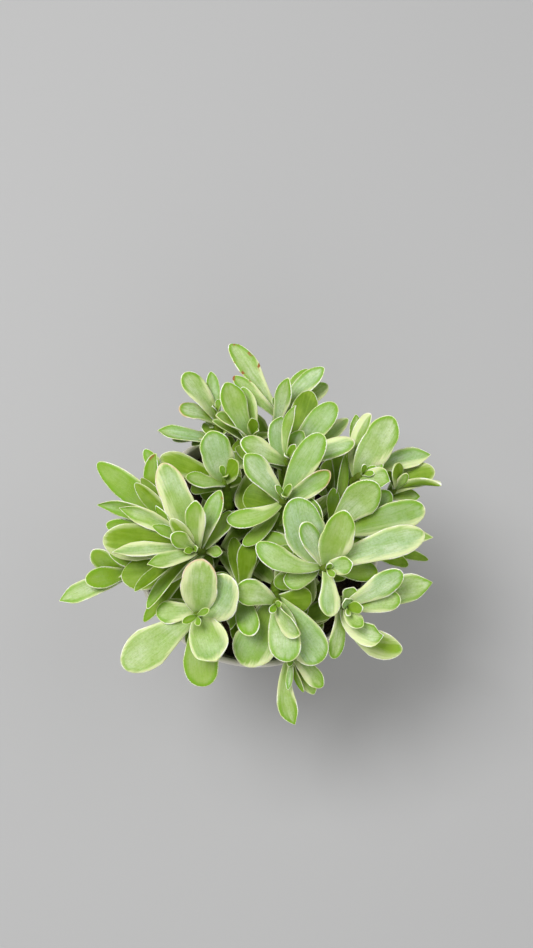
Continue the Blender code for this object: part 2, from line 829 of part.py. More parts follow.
def cut_round_holes(body, places, radius, sides, span):
    """Upright holes of one size through or into a body, from one height to another."""
    group = bpy.data.collections.new(body.name + "_holes")
    bpy.context.scene.collection.children.link(group)
    low, high = span
    for number, (x, y) in enumerate(places):
        bpy.ops.mesh.primitive_cylinder_add(
            vertices=sides,
            radius=radius * MM,
            depth=(high - low) * MM,
            location=(x * MM, y * MM, (low + high) / 2 * MM),
        )
        hole = bpy.context.object
        hole.name = f"{body.name}_hole_{number}"
        for owner in list(hole.users_collection):
            owner.objects.unlink(hole)
        group.objects.link(hole)
    cut = body.modifiers.new("holes", "BOOLEAN")
    cut.operation = "DIFFERENCE"
    cut.operand_type = "COLLECTION"
    cut.collection = group
    cut.solver = "EXACT"
    bpy.context.view_layer.objects.active = body
    bpy.ops.object.modifier_apply(modifier=cut.name)
    for hole in list(group.objects):
        bpy.data.objects.remove(hole)
    bpy.data.collections.remove(group)


def main():
    for old in list(bpy.data.objects):
        bpy.data.objects.remove(old)
    glaze = material("white_glaze", WHITE_GLAZE, 0.35)
    earth = material("dark_soil", DARK_SOIL, 0.95)
    green = material("leaf_green", LEAF_GREEN, 0.45)
    build_pot(glaze)
    soil = build_soil(earth, random.Random(SEED))
    stems, leaves = grow()
    cut_stem_holes(soil, stems)
    for name, stem in stems.items():
        build_shoot(name, stem, leaves[name], green)


main()
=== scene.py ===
import math
import random

import bpy
import numpy as np
from mathutils import Matrix, Vector
from mathutils.bvhtree import BVHTree


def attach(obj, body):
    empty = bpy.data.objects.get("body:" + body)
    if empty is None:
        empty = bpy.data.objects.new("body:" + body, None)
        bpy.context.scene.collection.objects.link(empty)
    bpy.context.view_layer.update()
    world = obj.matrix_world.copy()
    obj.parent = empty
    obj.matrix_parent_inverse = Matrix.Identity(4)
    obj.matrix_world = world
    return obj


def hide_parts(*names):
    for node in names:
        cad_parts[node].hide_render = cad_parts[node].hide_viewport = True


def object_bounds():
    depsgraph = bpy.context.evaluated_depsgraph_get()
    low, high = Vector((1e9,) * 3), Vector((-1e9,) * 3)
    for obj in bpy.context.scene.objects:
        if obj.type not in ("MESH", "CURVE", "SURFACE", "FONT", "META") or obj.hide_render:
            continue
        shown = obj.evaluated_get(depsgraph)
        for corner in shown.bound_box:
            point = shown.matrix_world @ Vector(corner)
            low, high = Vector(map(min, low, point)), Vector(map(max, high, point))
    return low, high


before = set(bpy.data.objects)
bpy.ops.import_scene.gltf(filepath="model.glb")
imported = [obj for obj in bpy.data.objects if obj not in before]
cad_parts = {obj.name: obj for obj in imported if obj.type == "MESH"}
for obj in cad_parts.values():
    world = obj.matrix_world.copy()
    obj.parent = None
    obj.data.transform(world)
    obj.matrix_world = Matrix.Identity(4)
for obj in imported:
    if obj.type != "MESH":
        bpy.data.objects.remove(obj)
cadLow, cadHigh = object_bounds()  # every piece stays inside this box
mm = 0.001
seed = 8413
print("frame loaded")


def deselectAll():
    if bpy.context.object and bpy.context.object.mode != "OBJECT":
        bpy.ops.object.mode_set(mode="OBJECT")
    bpy.ops.object.select_all(action="DESELECT")


def makeActive(piece):
    deselectAll()
    piece.select_set(True)
    bpy.context.view_layer.objects.active = piece


def pointsOf(mesh):
    flat = np.empty(len(mesh.vertices) * 3, np.float32)
    mesh.vertices.foreach_get("co", flat)
    return flat.reshape(-1, 3).astype(float)


def setPoints(mesh, points):
    mesh.vertices.foreach_set("co", points.astype(np.float32).ravel())
    mesh.update()


def joinInto(piece, others):
    makeActive(piece)
    for other in others:
        other.select_set(True)
    bpy.ops.object.join()


def keepInBox(piece):
    setPoints(piece.data, np.clip(pointsOf(piece.data), np.array(cadLow), np.array(cadHigh)))


def applyModifiers(piece):
    makeActive(piece)
    for modifier in list(piece.modifiers):
        bpy.ops.object.modifier_apply(modifier=modifier.name)


def growRing(shift, scale, centre):
    # the selected open edge is drawn out by one ring, then widened or narrowed
    bpy.ops.mesh.extrude_region_move(TRANSFORM_OT_translate={"value": shift})
    bpy.ops.transform.resize(value=scale, center_override=centre)


def closeUp(piece, smoothAngle):
    # doubles merged, faces turned outwards, shaded smooth up to an angle in degrees
    makeActive(piece)
    bpy.ops.object.mode_set(mode="EDIT")
    bpy.ops.mesh.select_all(action="SELECT")
    bpy.ops.mesh.remove_doubles(threshold=0.002 * mm)
    bpy.ops.mesh.normals_make_consistent(inside=False)
    bpy.ops.object.mode_set(mode="OBJECT")
    bpy.ops.object.shade_smooth_by_angle(angle=math.radians(smoothAngle))


def copied(master, name):
    piece = master.copy()
    piece.data = master.data.copy()
    piece.name = name
    bpy.context.scene.collection.objects.link(piece)
    return piece


def putOn(piece, finish):
    piece.data.materials.clear()
    piece.data.materials.append(finish)


# where every stem and leaf stands; lengths in millimetres
layout = {
    "eye": Vector((4.0, -72.0, 489.0)),  # the plan was drawn as seen from here
    "planHeight": 115.0,
    "rimRadius": 50.0,
    "rimWall": 2.6,
    "rimOut": 1.6,  # the rim stands this far out from the wall
    "rimDepth": 9.0,
    "potHeight": 85.0,
    "footRadius": 36.0,
    "potSides": 32,
    "potWall": 2.2,
    "soilLevel": 76.0,
    "soilMound": 2.0,
    "soilLump": 1.1,
    "gap": 0.3,
    "stemFoot": 58.0,
    "stemFootRadius": 2.3,
    "stemCrownRadius": 1.5,
    "stemSides": 5,
    "stemSteps": 5,
    "stemStraight": 6.0,
    "stemRise": 0.45,  # how far the curve's handles reach, as a share of its chord
    "stemLean": 0.5,
    "stemSlack": 1.05,  # the curve's length over its chord's
    "leafRings": (0.0, 0.3, 0.55, 0.78, 0.93),  # places along a leaf, as shares of its length
    "middlingLeafRings": (0.0, 0.42, 0.7, 0.9),
    "smallLeafRings": (0.0, 0.48, 0.85),
    "middlingLeafWidth": 8.6,
    "smallLeafWidth": 6.0,
    "rootOut": 0.6,
    "petioleShare": 0.24,
    "widestAt": 0.64,
    "tipRoundness": 2.2,
    "skyward": 0.8,
    "thin": 0.6,
    "thickPerWidth": 0.115,
    "thinning": (1.15, 0.45),  # thickness at the root, and what is lost on the way to the tip
    "ridge": 0.45,  # shares of the thickness above and below the leaf's line
    "keel": 0.65,
    "handles": (0.36, 0.33),  # of the leaf's curve, as shares of its chord
    "cup": 0.13,
    "lift": 0.4,
    "arch": 0.22,
    "bladeFrom": 0.45,
    "turns": (0, 4, -4, 8, -8, 12, -12, 16, -16),  # what a leaf in the way may do
    "raises": (0, 2, -2, 4, -4, 6, -6, 9, -9, 12, -12, 15, -15),
    "turnCost": 0.6,
    "clearance": 0.35,
}
# the two small leaves in each crown, and the low ones that fill in below; their numbers tell them apart
heart = {"number": -1, "leaves": 2, "below": 0.8, "length": 6.0, "width": 2.8, "lean": 28.0}
lowLeaves = {
    "number": -2,
    "first": 10.0,
    "step": 9.0,
    "pairs": 4,
    "length": 20.0,
    "width": 9.0,
    "longer": (0.85, 1.1),  # least and most, by chance
    "wider": (0.8, 1.15),
    "clearOfSoil": 4.0,
    "ceiling": 98.0,
    "reach": 53.0,
    "turns": (0, 15, -15, 30, -30, 42, -42),
    "rises": (0.2, 0.05, -0.1),
    "sizes": (1.0, 0.8),
}

# each stem's foot, its crown on the plan and how high, and its leaves: distance below the crown,
# tip x and y on the plan, tip height and width, then roll, arch and sweep where they aren't plain
shoots = {
    "west": ((-15, -4), (-23, -8, 117), (
        (3, -23, 11.3, 131, 8), (4, -32.5, 4.2, 128, 5.5), (2, -32.3, -2, 126, 6.5),
        (6, -36.3, 26, 126, 11.5), (5, -13.5, 15.2, 123, 8.5, -22, 0.22, 0.2),
        (7, -9.8, 7.2, 113, 7.5, -10, 0.22, 0.4), (4, -39.6, 1.3, 126, 5, 30),
        (6, -38.3, 9.2, 121, 5, -40), (5, -54.3, -9, 123, 6.5, 25, 0.22, -0.1),
        (4, -41, -13.5, 127, 7, 15, 0.22, -0.3), (8, -58, -4, 116, 14.5),
        (11, -55.5, -8.5, 109, 11, 0, 0.22, -0.2), (10, -60.8, 9.6, 113, 7, -25, 0.22, 0.6),
        (7, -52.2, 8.4, 120, 7, -15, 0.22, 0.35), (14, -61.3, 26, 107, 10.5),
        (12, -43.3, 31.5, 110, 7.5, 10), (9, -38.6, 29.8, 116, 8.5, -35, 0.22, -1.3),
        (11, -46.5, 18, 113, 6.5), (9, -50.5, -18, 111, 14, 0, 0.22, -0.3),
        (5, -45.3, -23.8, 121, 5.5, 30), (8, -40.3, -30.2, 114, 6.5, 30), (14, -41.5, -35, 102, 6, 10),
        (9, -12.6, -9, 113, 4.5), (9, -44.3, 20, 108, 6), (10, -57, 2, 110, 9),
    )),
    "far_west": ((-31, -9), (-49, -17, 100), (
        (4, -73.3, -27.4, 102, 8.5), (3, -64, -19.7, 107, 8.5), (3, -61.5, -7.7, 104, 8.5, 0, 0.22, -0.45),
    )),
    "south_west": ((-19, -22), (-22, -33, 114), (
        (3, -20, -11.3, 129, 13), (4, -12.3, -16.8, 124, 15, -5, 0.22, 0.8), (1, -27.3, -35.3, 121, 3, 10),
        (1, -17.3, -30.3, 122, 2.8, -10), (8, -48.8, -51.5, 107, 15.5),
        (5, -14.5, -49.3, 114, 15, 0, -0.5), (10, -19.4, -58.5, 100, 14), (13, -24.5, -44, 95, 6),
        (6, -37.1, -31.7, 110, 9, 22),
    )),
    "pit": ((-5, -17), (-5, -26, 100), (
        (4, -2.5, -4.3, 108, 8), (4, -8.5, -3, 104, 6.5), (1, -1, -40.1, 115, 9, 0, 0.4),
        (5, -7.8, -42.3, 100, 6.5, -10), (2, -9.3, -37.8, 107, 3.5, 20),
    )),
    "south": ((8, -17), (7.5, -28.5, 114), (
        (3, -8, -23.3, 121, 10.5, 0, 0.22, 0.25), (3, 16.6, -39.7, 119, 8.5, 40),
        (5, 11.3, -49.7, 113, 12.5, 0, 0.22, -0.2), (9, -4.3, -51, 105, 16.5), (8, 24, -49.7, 106, 15),
        (8, 21, -26, 106, 10.5, 15),
    )),
    "spill": ((12, -33), (13.5, -47, 97), (
        (2, 14.4, -72, 89, 7.5, 10, 0.22, 0.45), (1, 11.8, -59.6, 98, 2.8), (3, 17.7, -60.5, 92, 3.2, 40),
        (3, 24.6, -58.6, 95, 7), (5, 21.4, -61.2, 88, 6),
    )),
    "south_east": ((25, -18), (34.5, -30, 114), (
        (2, 33.5, -26.3, 121, 5), (2, 40, -29.6, 120, 5), (4, 47.5, -39.8, 114, 9, 15, -0.3, 1.5),
        (7, 54.2, -44.5, 105, 10.5, 10, 0.0, 1.0), (9, 66.2, -20.2, 109, 11.5), (6, 54.2, -26.5, 115, 9.5),
        (4, 55.2, -16.3, 121, 9.5), (5, 36.8, -22, 116, 6.5), (2, 40, -36.5, 117, 6, 0, 0.1, 0.6),
        (8, 28.5, -48.4, 103, 7, -15),
    )),
    "east": ((17, -6), (27, -15, 120), (
        (2, 36.6, -13, 127, 7), (3, 34, 7.5, 133, 11.5), (4, 17.4, 2.5, 132, 8.5, 10),
        (6, 15.2, 12.4, 125, 14.5, 0, 0.22, -0.25), (8, 21, 12, 119, 10, -30),
        (5, 64, -1.8, 121, 12, 0, 0.22, -0.1), (3, 27.4, -33, 118, 8.5, 0, 0.22, -0.15),
        (5, 0.6, -5, 122, 9.5, 0, 0.22, -0.65), (8, 10.3, -19, 113, 9, 0, 0.22, -0.5),
        (7, 14, -8.8, 116, 7), (8, 8, -7.3, 112, 6), (9, 1.5, -2.5, 108, 12, 0, 0.22, -0.3),
        (8, 46, -16.5, 111, 8.5), (11, 6.7, -20.1, 105, 8, 0, 0.22, -0.4),
    )),
    "east_low": ((19, 5), (30.5, -0.5, 108), (
        (2, 47.3, 17.3, 119, 14, 0, 0.22, -0.3), (5, 52, 14, 109, 10), (3, 42, 9.6, 112, 6),
        (4, 64.3, 8.8, 113, 12.5, 0, 0.22, 0.2), (7, 67.2, -3.2, 103, 8.5), (9, 65, -11.8, 99, 5),
        (4, 29.6, 16.2, 109, 5.5), (9, 57.4, -14, 102, 6.5), (6, 34.2, 29.5, 106, 6, 20),
    )),
    "middle": ((6, 4), (11, 12.5, 119), (
        (2, 13.4, 17.7, 126, 3.2), (2, 7.3, 17.2, 125, 3), (4, -4.4, 29.4, 127, 10),
        (7, -4.7, 13.5, 111, 12), (4, -11.2, 4, 118, 8, 0, 0.22, -0.6), (5, 25.8, 37.8, 129, 11),
        (4, 28.5, 22.8, 125, 8, 30), (9, -5, -6, 106, 6, 0, 0.22, -0.3),
    )),
    "north": ((10, 19), (12.5, 28, 117), (
        (1, 15.3, 33.5, 124, 3.5), (4, -6.2, 34.8, 126, 9.5, 0, 0.22, -0.15),
        (4, 10, 45, 122, 9.5, 10, 0.22, -0.7), (3, 15.6, 49.3, 130, 6, -50), (6, 38.2, 34.5, 117, 8.5),
        (4, 18.2, 39, 121, 7), (8, 21.3, 55.3, 112, 10.5), (7, 31, 50.2, 117, 10.5),
        (10, 36, 43.8, 107, 7), (8, -8.2, 32, 111, 7.5),
    )),
    "far_north": ((6, 33), (8.5, 47.5, 105), (
        (10, 12.8, 60.8, 118, 8, 0, 0.22, 0.15), (4, -10.5, 75, 108, 9.5), (3, -9.2, 61.2, 111, 6.5, -25),
        (5, 26.8, 65, 110, 8.5), (8, 28, 58, 101, 9.5), (7, 20.5, 64.3, 103, 8),
    )),
    "north_east": ((29, 17), (41, 21.5, 111), (
        (4, 49, 25.6, 113, 5), (3, 46.4, 24.6, 112, 3.2), (5, 53.2, 44.9, 120, 12.5),
        (5, 44.8, 46, 117, 7, -55, 0.22, -0.25), (7, 67.6, 29.2, 107, 8.5, 0, 0.22, -0.2),
        (2, 51.7, 18.6, 117, 8.6, 15), (9, 39, 45.6, 105, 6),
    )),
    "far_east": ((37, 7), (54, 16.5, 104), (
        (1, 53.5, 25.5, 114, 8.5), (2, 50, 22.6, 112, 4.2), (2, 58, 22, 112, 4.2),
        (2, 71.2, 17.2, 115, 7.5, -58), (5, 69, 22.3, 107, 11, -10, 0.22, -0.3), (7, 62.8, 12.6, 99, 6),
    )),
    "north_middle": ((-3, 25), (-1, 37, 109), (
        (1, -1.8, 44.2, 116, 4.8), (4, -12, 58.9, 119, 11, 0, 0.22, -0.25), (6, -5.3, 57, 110, 8.5),
        (4, -15.9, 45.3, 116, 8, 20), (7, -17.2, 42.9, 110, 6.5, 20),
    )),
    "north_west": ((-15, 29), (-15.5, 46, 103), (
        (3, -29, 62.5, 111, 10.5), (4, -30.4, 48, 107, 10), (5, -18, 63.3, 105, 5.5),
        (8, -21.5, 40, 101, 7), (12, -38.4, 38.8, 100, 7.5, -10, 0.22, -0.2), (10, -25, 33, 96, 5),
        (5, -20.0, 41.7, 98, 8),
    )),
    "inner": ((-11, 12), (-12, 20, 110), (
        (3, -18, 39, 121, 12), (5, -37.3, 28.2, 112, 10), (4, -27.2, 20.2, 117, 8.5, 15, 0.22, -0.4),
        (3, -6.8, 26.5, 118, 8.5, 0), (5, -17.3, 24.5, 109, 6), (6, -5.3, 19.8, 107, 4.5),
        (6, -25, 15.7, 100, 7),
    )),
}


def wallRadius(height):
    share = height / (layout["potHeight"] - layout["rimDepth"])
    return layout["footRadius"] + (layout["rimRadius"] - layout["rimOut"] - layout["footRadius"]) * share


def tubeFaces(rings, sides):
    # corner numbers of every face round a closed tube
    faces = [tuple(reversed(range(sides)))]
    for ring in range(rings - 1):
        low, high = ring * sides, (ring + 1) * sides
        for side in range(sides):
            after = (side + 1) % sides
            faces.append((low + side, low + after, high + after, high + side))
    last = (rings - 1) * sides
    faces.append(tuple(last + side for side in range(sides)))
    return faces


def bladeFaces(rings, sides):
    # the same for a leaf, in triangles and closed to a point
    faces = [tuple(reversed(range(sides)))]
    for ring in range(rings - 1):
        low, high = ring * sides, (ring + 1) * sides
        for side in range(sides):
            after = (side + 1) % sides
            if side < sides // 2:
                faces.append((low + side, low + after, high + after))
                faces.append((low + side, high + after, high + side))
            else:
                faces.append((low + side, low + after, high + side))
                faces.append((low + after, high + after, high + side))
    last, tip = (rings - 1) * sides, rings * sides
    faces += [(last + side, last + (side + 1) % sides, tip) for side in range(sides)]
    return faces


def fromPlan(x, y, height):
    # the point at this height that the eye sees at x, y on the plan
    eye = layout["eye"]
    reach = (eye.z - height) / (eye.z - layout["planHeight"])
    return Vector((eye.x + (x - eye.x) * reach, eye.y + (y - eye.y) * reach, height))


def bezier(controls, share):
    a, b, c, d = controls
    rest = 1 - share
    return rest**3 * a + 3 * rest * rest * share * b + 3 * rest * share * share * c + share**3 * d


def bezierSlope(controls, share):
    a, b, c, d = controls
    rest = 1 - share
    return (rest * rest * (b - a) + 2 * rest * share * (c - b) + share * share * (d - c)).normalized()


def halfOutline(share):
    # narrow base, spoon-shaped blade, round tip
    if share < layout["widestAt"]:
        base = layout["petioleShare"]
        return base + (1 - base) * math.sin(math.pi / 2 * share / layout["widestAt"])
    past = (share - layout["widestAt"]) / (1 - layout["widestAt"])
    return max(0.0, 1 - past ** layout["tipRoundness"]) ** 0.5


class StemLine:
    # stands straight in the soil, then bends over to its crown

    def __init__(self, foot, crown):
        self.foot = Vector((*foot, layout["soilLevel"] + layout["stemStraight"]))
        self.crown = fromPlan(*crown)
        lean = self.crown - self.foot
        rise = lean.length * layout["stemRise"]
        outward = Vector((lean.x, lean.y, 0)) * layout["stemLean"]
        self.controls = (
            self.foot,
            self.foot + Vector((0, 0, rise)),
            self.crown - (outward + Vector((0, 0, rise))).normalized() * rise,
            self.crown,
        )
        self.length = lean.length * layout["stemSlack"]

    def at(self, below):
        share = max(0.0, 1 - below / self.length)
        return bezier(self.controls, share), bezierSlope(self.controls, share)

    def mesh(self, swell=0.0):
        steps, sides = layout["stemSteps"], layout["stemSides"]
        centres = [Vector((self.foot.x, self.foot.y, layout["stemFoot"])), self.foot.copy()]
        slopes = [Vector((0, 0, 1)), Vector((0, 0, 1))]
        for step in range(1, steps):
            centres.append(bezier(self.controls, step / (steps - 1)))
            slopes.append(bezierSlope(self.controls, step / (steps - 1)))
        points = []
        for step, (centre, slope) in enumerate(zip(centres, slopes)):
            share = max(0, step - 1) / (steps - 1)
            low, high = layout["stemFootRadius"], layout["stemCrownRadius"]
            radius = low + (high - low) * share + swell
            side = slope.cross(Vector((0, 1, 0))).normalized()
            front = slope.cross(side)
            for corner in range(sides):
                angle = 2 * math.pi * corner / sides
                points.append(centre + radius * (math.cos(angle) * side + math.sin(angle) * front))
        return points, tubeFaces(len(centres), sides)


class LeafLine:
    # a leaf from its root in the stem to its tip, its upper face turned to the crown

    def __init__(self, stem, below, tip, width, roll=0.0, arch=layout["arch"], sweep=0.0):
        axisPoint, axis = stem.at(below)
        self.below = below  # how far its root is from the crown
        self.root = axisPoint + (tip - axisPoint).normalized() * layout["rootOut"]
        self.tip = tip
        chord = tip - self.root
        self.length = chord.length
        self.width = width
        along = chord.normalized()
        light = axis + Vector((0, 0, layout["skyward"]))
        facing = (light - light.dot(along) * along).normalized()
        facing.rotate(Matrix.Rotation(math.radians(roll), 3, along))
        self.facing = facing
        aside = along.cross(facing) * sweep
        start = (along + layout["lift"] * facing + aside).normalized()
        end = (along - arch * facing - aside).normalized()
        first, second = layout["handles"]
        self.controls = (self.root, self.root + start * self.length * first, tip - end * self.length * second, tip)

    def rings(self):
        if self.width < layout["smallLeafWidth"]:
            return layout["smallLeafRings"]
        return layout["middlingLeafRings"] if self.width < layout["middlingLeafWidth"] else layout["leafRings"]

    def thickness(self, share):
        full, lost = layout["thinning"]
        return (layout["thin"] + layout["thickPerWidth"] * self.width) * (full - lost * share)

    def section(self, share, swell):
        centre = bezier(self.controls, share)
        along = bezierSlope(self.controls, share)
        side = along.cross(self.facing).normalized()
        up = side.cross(along)
        half = 0.5 * self.width * halfOutline(share) + swell
        thick = self.thickness(share) + 2 * swell
        edge, top, bottom = layout["cup"] * half, layout["ridge"] * thick, -layout["keel"] * thick
        shape = ((-1.0, edge), (0.0, top), (1.0, edge), (0.0, bottom))
        return [centre + side * half * across + up * height for across, height in shape]

    def mesh(self, swell=0.0, first=0.0):
        shares = [share for share in self.rings() if share >= first]
        points = [point for share in shares for point in self.section(share, swell)]
        sides = len(points) // len(shares)
        points.append(self.tip + bezierSlope(self.controls, 1.0) * swell)
        return points, bladeFaces(len(shares), sides)


def boxOf(points):
    return [Vector([end(point[i] for point in points) for i in range(3)]) for end in (min, max)]


def touchesAny(shape, others):
    low, high = boxOf(shape[0])
    tree = None
    for _, (otherLow, otherHigh), other in others:
        if any(high[i] < otherLow[i] or low[i] > otherHigh[i] for i in range(3)):
            continue
        tree = tree or BVHTree.FromPolygons(*shape)
        if tree.overlap(other):
            return True
    return False


class Garden:
    # what stands already, so that the next leaf can bend clear of it

    def __init__(self):
        self.solids = []
        self.blades = []

    def addSolid(self, shoot, shape):
        self.solids.append((shoot, boxOf(shape[0]), BVHTree.FromPolygons(*shape)))

    def addLeaf(self, shoot, leaf):
        self.addSolid(shoot, leaf.mesh(layout["clearance"] / 2))
        shape = leaf.mesh(0.0, layout["bladeFrom"])
        self.blades.append((shoot, boxOf(shape[0]), BVHTree.FromPolygons(*shape)))

    def isClear(self, shoot, leaf):
        others = [solid for solid in self.solids if solid[0] != shoot]
        if touchesAny(leaf.mesh(layout["clearance"] / 2), others):
            return False
        own = [blade for blade in self.blades if blade[0] == shoot]
        return not touchesAny(leaf.mesh(0.0, layout["bladeFrom"]), own)


def placedLeaf(garden, shoot, stem, row, orders):
    # the leaf of one row of the table, turned and raised as little as it can be
    below, x, y, height, width = row[:5]
    root = stem.at(below)[0]
    for turn, rise in orders:
        reach = fromPlan(x, y, height + rise) - root
        reach.rotate(Matrix.Rotation(math.radians(turn), 3, "Z"))
        leaf = LeafLine(stem, below, root + reach, width, *row[5:])
        if garden.isClear(shoot, leaf):
            garden.addLeaf(shoot, leaf)
            return leaf
    return None


def heartLeaves(stem, firstAngle):
    crown, axis = stem.at(0)
    side = axis.orthogonal().normalized()
    for number in range(heart["leaves"]):
        turn = Matrix.Rotation(firstAngle + math.pi * number, 3, axis)
        lean = math.radians(heart["lean"])
        way = axis * math.cos(lean) + (turn @ side) * math.sin(lean)
        yield LeafLine(stem, heart["below"], crown + way * heart["length"], heart["width"])


def lowLeaf(garden, shoot, stem, below, angle, length, width):
    root, _ = stem.at(below)
    for size in lowLeaves["sizes"]:
        for turn in lowLeaves["turns"]:
            for rise in lowLeaves["rises"]:
                way = angle + math.radians(turn)
                reach = Vector((math.cos(way), math.sin(way), rise)).normalized() * length * size
                leaf = LeafLine(stem, below, root + reach, width * size)
                hidden = leaf.tip.z < lowLeaves["ceiling"] and leaf.tip.xy.length < lowLeaves["reach"]
                if hidden and garden.isClear(shoot, leaf):
                    return leaf
    return None


def addLowLeaves(garden, shoot, stem, chance):
    # pairs of older leaves down the stem, each pair across the one above it
    grown = []
    first = chance.uniform(0, math.pi)
    for pair in range(lowLeaves["pairs"]):
        below = lowLeaves["first"] + lowLeaves["step"] * pair
        root, _ = stem.at(below)
        if root.z < layout["soilLevel"] + lowLeaves["clearOfSoil"]:
            break
        if root.z > lowLeaves["ceiling"]:
            continue
        for half in range(2):
            angle = first + math.pi * (half + 0.5 * pair)
            length = lowLeaves["length"] * chance.uniform(*lowLeaves["longer"])
            width = lowLeaves["width"] * chance.uniform(*lowLeaves["wider"])
            leaf = lowLeaf(garden, shoot, stem, below, angle, length, width)
            if leaf:
                garden.addLeaf(shoot, leaf)
                grown.append(leaf)
    return grown


def potAsObstacle():
    # the wall, the rim and a cone over the soil, as radius and height
    points, faces = [], []
    collar, top, low = layout["potHeight"] - layout["rimDepth"], layout["potHeight"], 20
    outer, inner, gap = layout["rimRadius"], layout["rimRadius"] - layout["rimWall"], layout["gap"]
    corners = (
        (wallRadius(low) + gap, low),
        (wallRadius(collar) + gap, collar),
        (outer + gap, collar),
        (outer + gap, top + gap),
        (inner - gap, top + gap),
        (inner - gap, layout["soilLevel"] + 1.5),
        (0.5, layout["soilLevel"] + layout["soilMound"] + layout["soilLump"]),
    )
    sides = layout["potSides"]
    for side in range(sides):
        turn = Matrix.Rotation(2 * math.pi * side / sides, 3, "Z")
        points += [turn @ Vector((radius, 0, height)) for radius, height in corners]
    for side in range(sides):
        here, there = side * len(corners), (side + 1) % sides * len(corners)
        for step in range(len(corners) - 1):
            faces.append((here + step, there + step, there + step + 1, here + step + 1))
    return points, faces


def growPlant():
    # the highest leaves are placed first, and each later one bends clear of them
    garden = Garden()
    garden.addSolid("pot", potAsObstacle())
    stems = {name: StemLine(foot, crown) for name, (foot, crown, _) in shoots.items()}
    leaves = {name: [] for name in shoots}
    for name, stem in stems.items():
        garden.addSolid(name, stem.mesh(layout["gap"]))
    rows = [(name, number, row) for name, (_, _, own) in shoots.items() for number, row in enumerate(own)]
    rows.sort(key=lambda named: -named[2][3])
    orders = [(turn, rise) for turn in layout["turns"] for rise in layout["raises"]]
    orders.sort(key=lambda pair: abs(pair[0]) * layout["turnCost"] + abs(pair[1]))
    for name, number, row in rows:
        leaf = placedLeaf(garden, name, stems[name], row, orders)
        if leaf:
            leaf.number = number
            leaves[name].append(leaf)
    chance = random.Random(seed)
    for name, stem in stems.items():
        for leaf in heartLeaves(stem, chance.uniform(0, math.pi)):
            if garden.isClear(name, leaf):
                garden.addLeaf(name, leaf)
                leaf.number = heart["number"]
                leaves[name].append(leaf)
    for name, stem in stems.items():
        for leaf in addLowLeaves(garden, name, stem, chance):
            leaf.number = lowLeaves["number"]
            leaves[name].append(leaf)
    return stems, leaves


stems, leaves = growPlant()
print("plant laid out:", sum(len(own) for own in leaves.values()), "leaves")


def srgb(*parts):
    # a colour as picked on screen, 0 to 255, in linear light
    shares = [part / 255 for part in parts]
    return (*[share / 12.92 if share < 0.0405 else ((share + 0.055) / 1.055) ** 2.4 for share in shares], 1.0)


class Mixer:
    # adds nodes to one tree, so that a finish reads as a list of steps

    def __init__(self, tree):
        self.tree = tree

    def node(self, kind, **values):
        node = self.tree.nodes.new("ShaderNode" + kind)
        for name, value in values.items():
            setattr(node, name, value)
        return node

    def feed(self, source, target):
        # a plain value sets the socket, a socket is linked to it
        if isinstance(source, bpy.types.NodeSocket):
            self.tree.links.new(source, target)
        else:
            target.default_value = source

    def fed(self, node, values):
        for socket, value in values.items():
            self.feed(value, node.inputs[socket])
        return node.outputs

    def maths(self, operation, *values, clamp=False):
        return self.fed(self.node("Math", operation=operation, use_clamp=clamp), dict(enumerate(values)))[0]

    def times(self, first, second):
        return self.maths("MULTIPLY", first, second)

    def plus(self, first, second):
        return self.maths("ADD", first, second)

    def minus(self, first, second):
        return self.maths("SUBTRACT", first, second)

    def ramp(self, value, low, high, toLow=0.0, toHigh=1.0):
        node = self.node("MapRange", interpolation_type="SMOOTHSTEP")
        return self.fed(node, dict(enumerate((value, low, high, toLow, toHigh))))[0]

    def mix(self, share, first, second):
        return self.fed(self.node("Mix", data_type="RGBA"), {0: share, 6: first, 7: second})[2]

    def noise(self, at, scale, detail=3.0, rough=0.55):
        values = {"Vector": at, "Scale": scale, "Detail": detail, "Roughness": rough}
        return self.fed(self.node("TexNoise"), values)["Fac"]

    def effect(self, group, **values):
        return self.fed(self.node("Group", node_tree=group), values)

    def split(self, vector):
        return self.fed(self.node("SeparateXYZ"), {0: vector})

    def attribute(self, name):
        return self.split(self.node("Attribute", attribute_name=name).outputs["Vector"])


class Finish(Mixer):
    # a material, its shader and the colour so far, which each coat partly covers

    def __init__(self, name, colours=None, **plain):
        self.material = bpy.data.materials.new(name)
        self.colours = colours
        self.material.use_nodes = True
        super().__init__(self.material.node_tree)
        self.shader = self.tree.nodes["Principled BSDF"]
        for title, value in plain.items():
            self.shader.inputs[title.replace("_", " ")].default_value = value

    def start(self, share, first, second):
        self.face = self.mix(share, first, second)

    def coat(self, share, colour):
        self.face = self.mix(share, self.face, self.colours[colour])

    def finish(self, roughness, height, distance, strength):
        bump = self.node("Bump")
        self.fed(bump, {"Strength": strength, "Distance": distance, "Height": height})
        self.fed(self.shader, {"Base Color": self.face, "Roughness": roughness, "Normal": bump.outputs["Normal"]})
        return self.material


def newEffect(name, inputs, outputs):
    group = bpy.data.node_groups.new(name, "ShaderNodeTree")
    for title, kind, value in inputs:
        socket = group.interface.new_socket(title, in_out="INPUT", socket_type="NodeSocket" + kind)
        if value is not None:
            socket.default_value = value
    for title in outputs:
        group.interface.new_socket(title, in_out="OUTPUT", socket_type="NodeSocketFloat")
    given, made = group.nodes.new("NodeGroupInput").outputs, group.nodes.new("NodeGroupOutput").inputs
    return group, Mixer(group), given, made


# blotches: soft patches of uneven colour, used on leaf, stem, glaze and soil
blotches, blot, given, made = newEffect(
    "blotches",
    (("Place", "Vector", None), ("Size", "Float", 200.0), ("Low", "Float", 0.4), ("High", "Float", 0.6)),
    ("Mask",),
)
cloud = blot.noise(given["Place"], given["Size"], 3.0, 0.5)
blot.feed(blot.ramp(cloud, given["Low"], given["High"]), made["Mask"])

